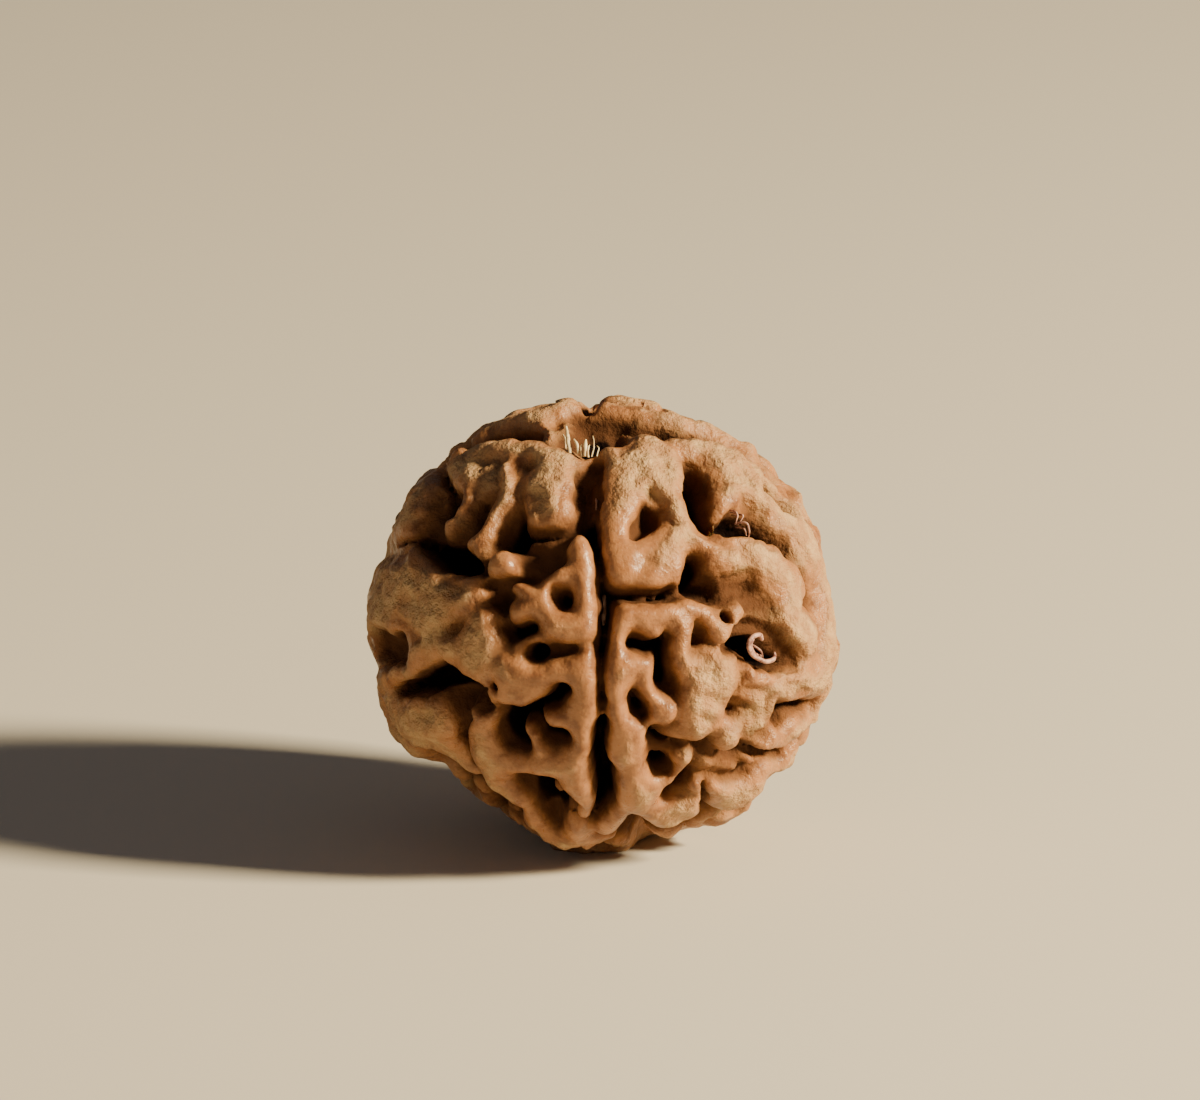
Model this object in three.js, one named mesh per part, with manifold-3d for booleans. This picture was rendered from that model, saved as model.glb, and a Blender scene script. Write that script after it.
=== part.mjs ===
import * as THREE from "three";
import Module from "manifold-3d";
import { mergeVertices } from "three/addons/utils/BufferGeometryUtils.js";

// Sizes in mm, +Z up. The seed's front groove faces -Y.
const skinRadius = 11.8;
const skinLift = 0.2;
const centreHeight = 11.3;
const footprintShift = -0.09;
const valleyDepth = 2.2;
const sideValleyDepth = 1.05;
const valleyStart = 1.3;
const sideValleyStart = 0.5;
const valleySlope = 0.6;
const sideShift = 1.2;
const pitSlope = 0.4;
const capRadius = 0.85;
const pitCap = 0.5;
const edgeFall = 0.25;
const ridgeGrow = 0.13;
const footBlend = 0.4;
const ridgeBlend = 0.16;
const pitBlend = 0.35;
const rippleHeight = 0.07;
const lumpHeight = 0.06;
const floorRelief = 0.2;
const outlineWander = 0.09;
const restPadRadius = 3.3;
const cellCount = 250;
const cellValley = 0.4;
const cellBlend = 0.2;
const cellBend = 0.75;
const sideGrooveTurn = 97;
const sideGrooveHalf = 0.32;
const sideGrooveDepth = 1.8;
const viewRise = 14.5;
const readRadius = 11.7;
const firstDetail = 64;
const faceBudget = 11000;

// Ridges: name, top below the skin, then points [x, up, half width] read from the front.
const ridges = [
  ["rear left lobe", 0, [[-0.9, 11.15, 0.35], [-2.2, 10.95, 0.4], [-3.5, 10.6, 0.5],
    [-4.7, 10.35, 0.4], [-6.0, 9.95, 0.35], [-7.6, 9.0, 0.35]]],
  ["rear left knuckle", 0.1, [[-3.3, 10.4, 0.4], [-2.6, 9.75, 0.4]]],
  ["rear right lobe", 0, [[0.2, 11.25, 0.35], [2.0, 10.95, 0.35], [4.0, 10.4, 0.35],
    [5.6, 9.9, 0.45], [7.2, 8.9, 0.5]]],
  ["hole front rim", 0.15, [[-2.0, 8.65, 0.35], [-1.2, 8.4, 0.32], [-0.5, 8.45, 0.28],
    [0.4, 8.9, 0.3]]],
  ["hole side floor", 0.5, [[-2.8, 9.7, 0.35], [-2.1, 10.1, 0.4], [-1.8, 10.6, 0.35]]],
  ["hole knob", 0.4, [[1.15, 10.1, 0.32], [1.55, 9.75, 0.3]]],
  ["upper right wall", 0, [[0.6, 8.8, 0.5], [0.5, 8.0, 0.6], [0.5, 7.0, 0.65], [0.5, 6.0, 0.65],
    [0.5, 5.0, 0.65], [0.6, 4.0, 0.7], [0.9, 3.0, 0.8], [1.1, 2.6, 0.65]]],
  ["upper right face", 0, [[2.4, 9.2, 0.8], [2.4, 7.9, 1.6], [2.2, 6.6, 1.85], [2.2, 5.2, 1.9],
    [2.3, 3.9, 1.8], [2.5, 3.2, 1.3]]],
  ["upper right foot", 0, [[1.2, 2.7, 0.7], [2.3, 2.7, 0.8], [3.4, 2.8, 0.9]]],
  ["upper right edge", 0, [[3.3, 8.7, 0.6], [3.5, 7.6, 0.7], [3.5, 6.6, 0.72], [3.55, 5.8, 0.72],
    [3.7, 5.0, 0.7], [3.6, 4.2, 0.7], [3.5, 3.4, 0.75]]],
  ["saddle bridge", 0.1, [[4.1, 4.8, 0.5], [4.9, 4.15, 0.42], [5.6, 3.95, 0.42]]],
  ["upper right shoulder", 0, [[3.6, 9.3, 0.5], [5.2, 8.9, 0.75], [6.6, 7.9, 1.2],
    [7.6, 6.9, 1.2], [8.6, 6.2, 0.9], [9.7, 5.1, 0.9], [10.4, 3.9, 0.8]]],
  ["shoulder spur", 0, [[6.9, 6.9, 0.9], [6.5, 6.4, 0.75], [6.35, 6.0, 0.6], [6.3, 5.75, 0.4]]],
  ["shoulder saddle", 0.8, [[6.1, 5.6, 0.3], [5.9, 5.0, 0.4], [5.8, 4.4, 0.4]]],
  ["right cheek", 0, [[5.8, 3.5, 0.75], [6.6, 3.3, 0.85], [7.6, 3.6, 0.8], [8.7, 2.9, 0.9],
    [9.4, 2.1, 0.9], [9.6, 1.2, 0.9]]],
  ["right cheek tip", 0, [[7.8, 4.1, 0.4]]],
  ["right limb", 0, [[10.9, 3.2, 0.7], [11.2, 1.7, 0.6], [11.4, 0.0, 0.8], [11.3, -1.5, 0.9],
    [10.9, -3.0, 1.0]]],
  ["right middle", 0, [[9.2, 0.5, 0.8], [9.8, 0.0, 1.0], [10.3, -0.6, 0.9]]],
  ["right middle inner", 0.5, [[7.0, 0.9, 0.5], [7.2, 0.2, 0.4], [8.0, 0.4, 0.7],
    [8.8, 0.5, 0.6]]],
  ["arch", 0, [[0.8, -1.6, 0.5], [0.75, -0.8, 0.45], [0.9, 0.0, 0.45], [1.4, 0.6, 0.55],
    [2.2, 0.5, 0.6], [3.0, 0.6, 0.55], [3.6, 0.5, 0.5], [4.0, 0.0, 0.5], [4.05, -0.6, 0.5],
    [4.0, -1.2, 0.5], [4.2, -1.9, 0.55], [4.6, -2.6, 0.6]]],
  ["arch nub", 0.1, [[2.3, 0.2, 0.45], [2.7, -0.5, 0.37]]],
  ["spur", 0, [[4.2, 1.0, 0.35], [5.1, 0.5, 0.45], [5.8, 0.0, 0.5], [6.05, -0.5, 0.45]]],
  ["hook", 0.05, [[0.8, -2.2, 0.6], [1.3, -2.2, 0.6], [1.8, -2.0, 0.45], [2.2, -2.0, 0.45],
    [2.4, -2.5, 0.33], [2.3, -3.0, 0.3], [2.5, -3.6, 0.3], [2.8, -4.2, 0.5]]],
  ["right groove wall", 0, [[0.8, -1.6, 0.45], [0.9, -2.4, 0.8], [0.7, -3.3, 0.6],
    [0.75, -4.2, 0.52], [1.1, -5.0, 0.75], [1.35, -5.8, 0.95], [1.1, -6.6, 0.85],
    [0.8, -7.0, 0.5]]],
  ["right nub", 0, [[2.6, -4.6, 0.5], [3.15, -4.5, 0.62]]],
  ["right centre lobe", 0, [[5.0, -1.9, 0.65], [5.5, -2.7, 1.3], [5.3, -3.7, 1.3],
    [5.0, -4.8, 1.0], [4.7, -5.3, 0.55]]],
  ["brown lobe", 0.35, [[3.4, -5.5, 0.4], [3.9, -5.7, 0.42], [4.3, -5.4, 0.45]]],
  ["low nub", 0, [[4.05, -6.85, 0.5]]],
  ["low nub neck", 0.7, [[2.6, -6.5, 0.2], [3.4, -6.75, 0.25]]],
  ["low right plateau", 0, [[2.0, -6.9, 0.4], [1.9, -7.8, 0.9], [2.0, -8.7, 1.15],
    [2.3, -9.2, 0.8]]],
  ["low thin ridge", 0, [[2.7, -8.5, 0.45], [3.4, -8.0, 0.28], [3.9, -7.4, 0.2]]],
  ["low right lobe", 0, [[4.75, -8.2, 0.42], [4.9, -8.9, 0.5], [4.5, -9.6, 0.6],
    [3.7, -9.9, 0.8], [3.0, -9.6, 0.7], [2.5, -9.4, 0.6]]],
  ["bottom tongue", 0.1, [[0.9, -9.7, 0.5], [0.4, -10.3, 0.5], [0.15, -10.7, 0.42]]],
  ["small right lobe", 0.1, [[6.2, -5.1, 0.5], [6.4, -5.6, 0.7], [6.5, -6.0, 0.5]]],
  ["low flat floor", 0.6, [[5.3, -7.1, 0.6], [6.1, -7.2, 0.65], [6.8, -7.3, 0.45]]],
  ["low right bead", 0, [[5.4, -8.2, 0.35], [6.1, -8.7, 0.65], [7.1, -8.5, 0.95],
    [7.6, -7.9, 0.55]]],
  ["low right slope", 0.5, [[6.6, -9.2, 0.5], [6.0, -9.8, 0.5], [5.5, -10.1, 0.45]]],
  ["knob", 0.1, [[7.5, -6.9, 0.35]]],
  ["low limb bits", 0, [[8.2, -7.1, 0.4], [9.0, -6.9, 0.5]]],
  ["right limb ridge", 0, [[10.6, -4.6, 0.4], [9.6, -5.4, 0.6], [8.6, -5.9, 0.6],
    [7.9, -6.3, 0.4]]],
  ["rough slope", 0.3, [[7.7, -3.9, 0.8], [8.1, -4.6, 1.0], [7.8, -5.2, 0.8]]],
  ["right low plateau", 0, [[7.5, -2.7, 0.5], [8.3, -2.9, 0.6], [9.5, -2.9, 0.7],
    [10.6, -3.2, 0.6]]],
  ["roof", 0, [[-7.6, 7.8, 0.6], [-6.6, 8.5, 0.7], [-5.0, 8.9, 0.65], [-3.5, 8.8, 0.7],
    [-2.0, 8.4, 0.6]]],
  ["finger A", 0, [[-6.9, 8.1, 0.9], [-7.0, 7.3, 0.85], [-6.75, 6.4, 0.5], [-7.1, 5.7, 0.48],
    [-7.6, 5.15, 0.45]]],
  ["finger A slope", 0.6, [[-7.2, 5.3, 0.5], [-6.6, 5.0, 0.35]]],
  ["finger web", 0.3, [[-5.9, 7.9, 0.8], [-5.85, 7.0, 0.7], [-5.95, 6.3, 0.35]]],
  ["finger web inner", 0.4, [[-4.1, 8.0, 0.45], [-4.0, 7.1, 0.35], [-4.0, 6.3, 0.2]]],
  ["finger B", 0, [[-4.9, 8.0, 0.5], [-4.8, 7.0, 0.52], [-4.95, 6.2, 0.52], [-5.5, 5.5, 0.45],
    [-5.9, 4.8, 0.45], [-6.4, 4.1, 0.47], [-6.6, 3.8, 0.5]]],
  ["lobe C", 0, [[-2.6, 8.3, 1.0], [-2.7, 7.3, 1.2], [-2.7, 6.3, 1.3], [-2.7, 5.8, 1.1]]],
  ["lobe C shelf", 1.6, [[-3.6, 4.5, 0.3], [-2.7, 4.5, 0.35], [-1.8, 4.4, 0.3]]],
  ["far left lobe", 0, [[-8.6, 7.5, 0.5], [-9.4, 6.3, 0.9], [-9.8, 5.2, 0.85],
    [-10.5, 4.8, 0.6]]],
  ["left cheek", 0, [[-10.7, 1.8, 1.1], [-9.3, 1.5, 1.4], [-8.1, 1.4, 1.3], [-7.0, 1.6, 0.9],
    [-6.4, 1.8, 0.6]]],
  ["cheek spike", -0.25, [[-9.35, 2.5, 0.7], [-9.4, 3.6, 0.32]]],
  ["cheek lower", 0, [[-11.2, 0.4, 0.7], [-9.9, 0.4, 0.8], [-8.6, 0.3, 1.0], [-8.5, -0.8, 0.9],
    [-8.3, -1.5, 0.5], [-7.4, -1.2, 0.8]]],
  ["left strut", 0, [[-9.1, -0.9, 0.45], [-9.4, -1.6, 0.4], [-10.3, -2.4, 0.5],
    [-11.0, -3.0, 0.5]]],
  ["lobe D", 0, [[-6.1, 0.0, 0.95], [-6.2, -0.8, 1.1], [-6.4, -1.6, 1.1], [-6.5, -2.1, 0.8],
    [-6.0, -2.9, 0.35], [-5.75, -4.0, 0.2]]],
  ["lower left lobe", 0, [[-10.2, -4.4, 0.9], [-9.4, -4.9, 1.4], [-8.6, -5.4, 1.45],
    [-8.0, -6.2, 0.9]]],
  ["left limb", 0.1, [[-11.3, 0.8, 0.8], [-11.5, -0.2, 0.5]]],
  ["left limb low", 0.1, [[-11.2, -2.6, 0.5], [-10.9, -4.0, 0.6], [-9.6, -6.4, 0.6]]],
  ["ball E", -0.2, [[-5.0, 3.0, 0.78]]],
  ["ball E shelf", 1.4, [[-3.9, 3.2, 0.35], [-3.0, 3.2, 0.3], [-2.2, 3.1, 0.25]]],
  ["arm 1", 0, [[-4.3, 1.95, 0.35], [-3.5, 1.55, 0.38], [-2.9, 1.4, 0.5]]],
  ["arm 2", 0, [[-4.15, 0.7, 0.58], [-3.3, 0.9, 0.42], [-2.7, 0.9, 0.45]]],
  ["lobe F", 0, [[-1.18, 4.05, 0.68], [-1.0, 3.6, 0.65], [-0.95, 2.8, 0.7], [-0.9, 2.0, 0.55],
    [-0.85, 1.2, 0.5], [-0.85, 0.4, 0.55], [-0.9, -0.2, 0.6]]],
  ["ring F", 0, [[-1.3, 2.9, 0.5], [-2.0, 2.6, 0.5], [-2.6, 2.0, 0.45], [-2.9, 1.3, 0.45],
    [-2.75, 0.6, 0.5], [-2.3, 0.0, 0.7], [-1.7, -0.15, 0.75], [-1.1, -0.1, 0.7]]],
  ["thin arc", 0.15, [[-4.35, -1.4, 0.26], [-4.2, -1.0, 0.22], [-3.85, -0.75, 0.22],
    [-3.4, -0.68, 0.22], [-2.95, -0.85, 0.22]]],
  ["left groove wall", 0, [[-0.75, -1.45, 0.3], [-1.0, -2.0, 0.7], [-1.1, -2.8, 0.85],
    [-1.0, -3.6, 0.75], [-1.0, -4.5, 0.75], [-1.0, -5.5, 0.6], [-1.1, -6.3, 0.65],
    [-1.3, -7.2, 0.75], [-1.2, -8.0, 0.75], [-0.8, -8.8, 0.6], [-0.8, -9.5, 0.6]]],
  ["plateau K", 0, [[-5.0, -2.3, 0.9], [-4.2, -2.6, 0.8], [-3.2, -2.7, 0.6],
    [-2.2, -2.5, 0.6], [-1.3, -2.4, 0.6]]],
  ["plateau K lower", 0, [[-4.9, -3.3, 0.9], [-4.2, -3.5, 0.7], [-3.6, -3.2, 0.7]]],
  ["finger N", 0, [[-1.4, -4.85, 0.5], [-2.6, -4.9, 0.52]]],
  ["nub P", 0.05, [[-3.2, -6.4, 0.4], [-3.35, -5.85, 0.3], [-3.85, -5.5, 0.3]]],
  ["ring Q", 0, [[-5.6, -4.6, 0.2], [-6.2, -4.9, 0.5], [-6.4, -5.8, 0.75], [-6.2, -6.8, 0.8],
    [-5.8, -7.5, 0.9], [-4.8, -7.5, 0.6], [-3.6, -7.3, 0.6], [-2.4, -7.3, 0.65],
    [-1.3, -7.2, 0.6]]],
  ["low left wall", 0, [[-6.2, -8.0, 0.5], [-5.5, -8.6, 0.6], [-4.8, -9.1, 0.5],
    [-4.1, -9.5, 0.3]]],
  ["low left limb", 0, [[-7.9, -7.0, 0.5], [-7.1, -7.7, 0.5]]],
  ["bottom left lobe", 0, [[-3.8, -9.9, 0.3], [-3.6, -10.5, 0.4], [-2.8, -11.0, 0.45],
    [-1.8, -11.15, 0.45], [-1.2, -11.0, 0.45], [-1.3, -10.3, 0.4]]],
  ["thin low rim", 0.1, [[-2.3, -8.5, 0.15], [-1.95, -9.2, 0.18], [-1.75, -10.0, 0.25]]],
];

// Pits and grooves, cut into the ridges: name, depth, then points [x, up, half width].
const pits = [
  ["stem hole", 3.6, [[-0.35, 9.6, 0.6], [-0.1, 10.4, 0.65]]],
  ["small top pit", 1.6, [[-2.1, 9.3, 0.28]]],
  ["left groove", 2.0, [[-3.4, 9.8, 0.2], [-4.7, 9.7, 0.22], [-6.0, 9.5, 0.15],
    [-7.5, 8.8, 0.1]]],
  ["right groove", 3.0, [[1.4, 10.5, 0.25], [2.2, 10.2, 0.42], [3.2, 10.0, 0.34],
    [4.3, 9.85, 0.12]]],
  ["rear groove", 1.8, [[-0.6, 11.2, 0.2], [-0.6, 11.6, 0.3]]],
  ["upper groove floor", 1.05, [[-0.4, 8.35, 0.32], [-0.7, 7.6, 0.55], [-0.75, 6.6, 0.6],
    [-0.78, 5.8, 0.52]]],
  ["groove slit", 3.2, [[-0.03, 8.5, 0.05], [-0.15, 7.6, 0.06], [-0.22, 6.8, 0.08],
    [-0.3, 6.0, 0.14]]],
  ["front groove", 2.5, [[-0.5, 5.6, 0.33], [-0.62, 5.0, 0.45], [-0.33, 4.2, 0.24],
    [-0.18, 3.4, 0.17], [-0.08, 3.0, 0.17], [0.02, 2.2, 0.24], [0.22, 1.6, 0.36],
    [0.17, 0.5, 0.36], [0.13, 0.0, 0.32], [0.02, -0.8, 0.3], [-0.05, -1.4, 0.25]]],
  ["middle groove", 2.6, [[-0.05, -1.4, 0.24], [-0.05, -2.3, 0.15], [-0.06, -3.0, 0.13],
    [0.0, -3.8, 0.2], [-0.05, -4.3, 0.18]]],
  ["low groove", 3.0, [[0.0, -5.0, 0.3], [-0.02, -5.5, 0.32], [-0.1, -6.2, 0.3],
    [-0.25, -6.8, 0.35], [0.0, -7.4, 0.5], [0.05, -8.0, 0.42], [0.2, -8.6, 0.38],
    [0.27, -9.2, 0.4], [-0.1, -9.8, 0.3], [-0.48, -10.3, 0.1]]],
  ["groove side cleft", 2.3, [[0.2, 1.6, 0.35], [1.5, 1.5, 0.28], [2.6, 1.45, 0.28],
    [3.3, 1.6, 0.3], [3.6, 1.85, 0.3]]],
  ["valley A B", 1.9, [[-6.0, 6.3, 0.15], [-6.25, 5.6, 0.3], [-6.5, 5.0, 0.3]]],
  ["pit B C", 2.8, [[-4.2, 6.0, 0.1], [-4.3, 5.3, 0.36], [-4.5, 4.5, 0.6]]],
  ["under lobe C", 2.5, [[-4.2, 4.7, 0.3], [-3.0, 4.65, 0.25], [-1.9, 4.7, 0.2]]],
  ["far left pit", 3.2, [[-7.75, 6.25, 0.6]]],
  ["far left valley", 1.8, [[-8.3, 7.9, 0.12], [-7.95, 7.0, 0.2], [-7.75, 6.25, 0.4]]],
  ["far left cleft", 3.0, [[-10.3, 4.1, 0.08], [-9.5, 4.35, 0.14], [-8.7, 4.0, 0.42],
    [-7.8, 3.5, 0.7], [-6.8, 3.1, 0.5]]],
  ["left limb hole", 3.4, [[-10.15, -1.2, 0.62]]],
  ["left cleft", 2.8, [[-10.3, -3.4, 0.2], [-9.0, -3.0, 0.45], [-8.1, -2.6, 0.6],
    [-7.2, -2.95, 0.4], [-6.3, -3.3, 0.35], [-6.0, -4.1, 0.3]]],
  ["lobe D hole", 1.4, [[-5.45, -3.1, 0.22]]],
  ["pit G", 2.6, [[-1.85, 1.4, 0.34]]],
  ["under ball E", 2.4, [[-5.8, 2.0, 0.2], [-4.8, 2.25, 0.14], [-3.8, 2.35, 0.18]]],
  ["pit H", 2.6, [[-5.0, -0.1, 0.25], [-4.5, -0.4, 0.36], [-3.7, -0.12, 0.36]]],
  ["pit I", 2.8, [[-3.4, -1.5, 0.6]]],
  ["valley I", 1.6, [[-2.5, -1.35, 0.3], [-1.4, -1.2, 0.18]]],
  ["slot L", 2.8, [[-2.05, -3.4, 0.5], [-2.5, -3.95, 0.36], [-3.2, -4.25, 0.32],
    [-3.8, -4.45, 0.28]]],
  ["pit M", 3.6, [[-4.75, -4.8, 0.52], [-4.85, -5.5, 0.6], [-4.6, -6.2, 0.6],
    [-4.2, -6.45, 0.45]]],
  ["pit M arm", 3.2, [[-4.3, -4.75, 0.35], [-3.7, -4.78, 0.28], [-3.15, -5.3, 0.2],
    [-2.9, -5.6, 0.25]]],
  ["pit O", 3.0, [[-2.8, -5.8, 0.3], [-2.0, -5.8, 0.44]]],
  ["pit Q", 1.6, [[-6.2, -4.2, 0.3]]],
  ["ring Q side", 3.0, [[-6.75, -4.6, 0.12], [-7.25, -5.3, 0.14], [-7.4, -6.1, 0.14],
    [-7.2, -6.9, 0.16], [-6.9, -7.6, 0.16]]],
  ["pit R", 3.6, [[-4.2, -8.3, 0.45], [-3.3, -8.6, 0.65], [-2.8, -9.2, 0.75],
    [-2.75, -9.8, 0.65]]],
  ["slot T", 1.6, [[-1.8, -8.8, 0.15], [-1.6, -9.2, 0.22], [-1.5, -9.9, 0.12]]],
  ["pit V", 1.4, [[1.7, 4.55, 0.25], [2.0, 5.0, 0.48], [2.4, 5.5, 0.52], [2.3, 6.0, 0.3]]],
  ["pit X", 2.3, [[4.6, 7.8, 0.25], [4.75, 7.1, 0.45], [4.8, 6.4, 0.55], [5.0, 5.7, 0.5],
    [5.5, 5.05, 0.38]]],
  ["pit Y", 2.5, [[6.3, 4.9, 0.42], [7.0, 5.2, 0.62], [7.8, 4.95, 0.45], [8.6, 4.5, 0.35],
    [9.3, 3.9, 0.42], [9.6, 3.4, 0.25]]],
  ["pit AA", 2.6, [[4.75, 3.35, 0.35], [4.75, 2.8, 0.5], [4.5, 2.1, 0.5]]],
  ["hole CC", 1.9, [[6.3, 0.4, 0.36]]],
  ["pit DD", 2.6, [[7.4, -1.2, 0.42], [8.0, -1.4, 0.65], [8.7, -1.95, 0.45],
    [9.5, -1.95, 0.2]]],
  ["pit EE", 1.6, [[10.5, 0.95, 0.3]]],
  ["pit LL", 1.3, [[4.8, 0.3, 0.12], [4.95, -0.3, 0.3], [4.9, -0.9, 0.3]]],
  ["pit OO", 2.6, [[1.6, -0.9, 0.38], [2.3, -1.15, 0.33], [3.05, -1.1, 0.36],
    [3.3, -0.6, 0.25]]],
  ["pit OO foot", 2.6, [[3.1, -1.6, 0.4], [3.1, -2.6, 0.42], [3.15, -3.0, 0.38]]],
  ["pit RR", 2.2, [[1.6, -3.7, 0.3], [1.85, -4.3, 0.42], [2.1, -4.7, 0.25]]],
  ["pit TT", 2.4, [[2.6, -5.7, 0.36], [3.2, -6.1, 0.32], [3.9, -6.2, 0.18]]],
  ["pit VV", 2.6, [[2.6, -7.1, 0.32], [3.0, -7.45, 0.45], [3.4, -7.5, 0.25]]],
  ["lobe side slit", 2.0, [[5.15, -8.1, 0.1], [5.35, -8.9, 0.12], [5.1, -9.8, 0.14]]],
  ["pit YY", 2.8, [[4.3, -7.9, 0.35], [3.9, -8.4, 0.45], [3.4, -8.9, 0.3]]],
  ["slit HH", 2.2, [[9.1, -5.0, 0.24], [9.4, -4.4, 0.28], [9.9, -4.15, 0.24],
    [10.6, -4.0, 0.2]]],
  ["lobe right border", 1.3, [[7.05, -1.9, 0.12], [7.0, -2.6, 0.12], [6.95, -3.2, 0.14],
    [6.7, -3.9, 0.16], [6.85, -4.4, 0.2]]],
  ["low valley", 2.0, [[6.2, -6.6, 0.2], [7.2, -6.35, 0.2], [8.2, -6.65, 0.2],
    [9.0, -6.55, 0.2]]],
  ["pit GG", 2.0, [[6.8, -4.5, 0.3]]],
];

// Soft hollows and creases: name, depth, then points [x, up, half width].
const hollows = [
  ["top dimple", 0.5, [[-1.4, 10.9, 0.2], [-0.95, 10.95, 0.2]]],
  ["pale floor by the hole", 0.35, [[-1.9, 9.9, 0.35]]],
  ["rear right slope", 0.5, [[0.9, 10.5, 0.3], [1.6, 10.2, 0.25]]],
  ["face groove W", 0.55, [[2.4, 6.85, 0.25], [2.9, 6.2, 0.28], [3.25, 5.5, 0.22],
    [3.6, 5.1, 0.15]]],
  ["pit V lip", 0.4, [[2.5, 5.6, 0.6]]],
  ["face dent", 0.2, [[1.9, 7.4, 0.25], [1.5, 6.9, 0.15]]],
  ["face top dent", 0.25, [[2.9, 8.5, 0.25], [3.1, 7.9, 0.15]]],
  ["face low dent", 0.25, [[2.2, 3.2, 0.25], [1.9, 2.8, 0.2]]],
  ["pit X side", 0.5, [[4.9, 7.8, 0.3], [5.1, 6.8, 0.3], [5.3, 6.0, 0.3]]],
  ["pit Y side", 0.6, [[7.3, 6.0, 0.35], [7.9, 5.5, 0.4]]],
  ["dent Z", 1.0, [[8.3, 6.7, 0.28], [8.8, 6.2, 0.32], [9.2, 5.85, 0.25]]],
  ["shoulder dents", 0.25, [[6.9, 7.5, 0.2], [7.2, 7.0, 0.18]]],
  ["shoulder top dent", 0.2, [[4.9, 9.6, 0.3]]],
  ["shoulder far dent", 0.25, [[8.8, 7.3, 0.25], [8.9, 6.9, 0.2]]],
  ["cheek top dent", 0.4, [[6.9, 3.9, 0.2], [7.2, 3.2, 0.35]]],
  ["valley BB", 0.6, [[5.0, 1.75, 0.4], [6.2, 1.75, 0.6], [7.2, 2.1, 0.7], [7.8, 1.3, 0.6],
    [8.5, 0.6, 0.45]]],
  ["pit DD hollow", 1.0, [[6.5, -1.1, 0.35], [6.9, -0.8, 0.5], [7.7, -0.4, 0.75], [8.7, -0.9, 0.65],
    [9.5, -1.6, 0.5]]],
  ["limb crease", 0.3, [[10.9, 1.9, 0.1], [10.5, 1.3, 0.12], [10.1, 0.9, 0.14],
    [9.85, 0.4, 0.12], [9.8, -0.2, 0.15]]],
  ["limb low crease", 0.35, [[10.4, -5.2, 0.12], [10.1, -5.8, 0.12]]],
  ["plateau crease", 0.4, [[7.35, -3.1, 0.16], [8.1, -3.3, 0.16]]],
  ["plateau far crease", 0.4, [[9.1, -3.05, 0.18], [9.9, -3.25, 0.18]]],
  ["slope crease 1", 0.35, [[7.3, -4.1, 0.14], [7.8, -4.9, 0.14]]],
  ["slope crease 2", 0.35, [[8.3, -3.9, 0.14], [8.5, -4.7, 0.14]]],
  ["slope crease 3", 0.4, [[7.5, -5.4, 0.14], [8.2, -5.6, 0.14]]],
  ["lobe pocket", 0.45, [[4.5, -1.4, 0.22], [5.2, -1.7, 0.2]]],
  ["lobe crease", 0.3, [[4.6, -2.3, 0.14], [5.4, -2.4, 0.14]]],
  ["lobe dent", 0.35, [[5.2, -3.6, 0.25], [5.9, -3.9, 0.25]]],
  ["lobe low dent", 0.3, [[4.9, -4.6, 0.2], [5.4, -4.9, 0.2]]],
  ["bead pit", 0.4, [[7.3, -7.3, 0.18]]],
  ["lower lobe pocket", 0.35, [[4.5, -8.7, 0.25]]],
  ["lobe C dent", 0.35, [[-3.3, 6.3, 0.4], [-3.0, 5.5, 0.3]]],
  ["lobe C far dent", 0.2, [[-2.3, 7.2, 0.3]]],
  ["roof dent", 0.3, [[-4.0, 8.6, 0.25], [-3.4, 8.1, 0.2]]],
  ["roof left dent", 0.25, [[-6.0, 8.3, 0.3]]],
  ["far left dent", 0.3, [[-9.2, 5.2, 0.3], [-8.9, 4.6, 0.3]]],
  ["ring hollow", 0.6, [[-2.35, 1.7, 0.3], [-2.1, 1.3, 0.35]]],
  ["cheek fold", 0.4, [[-10.1, 0.4, 0.12], [-9.5, -0.1, 0.15], [-9.15, -0.7, 0.2]]],
  ["cheek dip", 0.3, [[-11.0, 2.1, 0.2], [-10.9, 1.4, 0.2]]],
  ["cheek dent", 0.25, [[-9.7, 1.3, 0.25], [-9.0, 1.2, 0.2]]],
  ["cheek far dent", 0.3, [[-7.9, 2.2, 0.3], [-7.2, 1.8, 0.35]]],
  ["left limb hollow", 0.9, [[-10.8, -1.2, 0.6], [-11.3, -1.1, 0.5]]],
  ["lobe D dent", 0.25, [[-7.6, -0.3, 0.3], [-8.3, -0.4, 0.3]]],
  ["lower left dent", 0.3, [[-9.1, -4.4, 0.3], [-8.5, -4.6, 0.3]]],
  ["lower left crease", 0.25, [[-9.6, -5.6, 0.15], [-8.9, -6.0, 0.15]]],
];

// Outline of the seed seen from the front: [turn in degrees from +X, radius].
const outline = [
  [-180, 12.0], [-150, 11.95], [-137, 10.9], [-122, 10.85], [-112, 11.25], [-99, 11.75],
  [-88, 11.5],
  [-70, 11.45], [-49, 12.0], [-30, 11.85], [-12, 12.05], [10, 11.8], [45, 11.85], [75, 11.5],
  [100, 11.65], [135, 11.75], [165, 11.85], [180, 12.0],
];
// Notches that cross the outline: [turn in degrees, depth, half width].
const rimNotches = [
  [93, 0.5, 0.6], [12, 0.4, 0.5], [55, 0.4, 0.6], [162, 0.7, 0.6], [-169, 0.55, 0.45],
  [-137, 0.6, 0.8], [-78, 1.3, 0.7], [-42, 0.7, 0.5], [-20, 0.3, 0.4],
];

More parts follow.
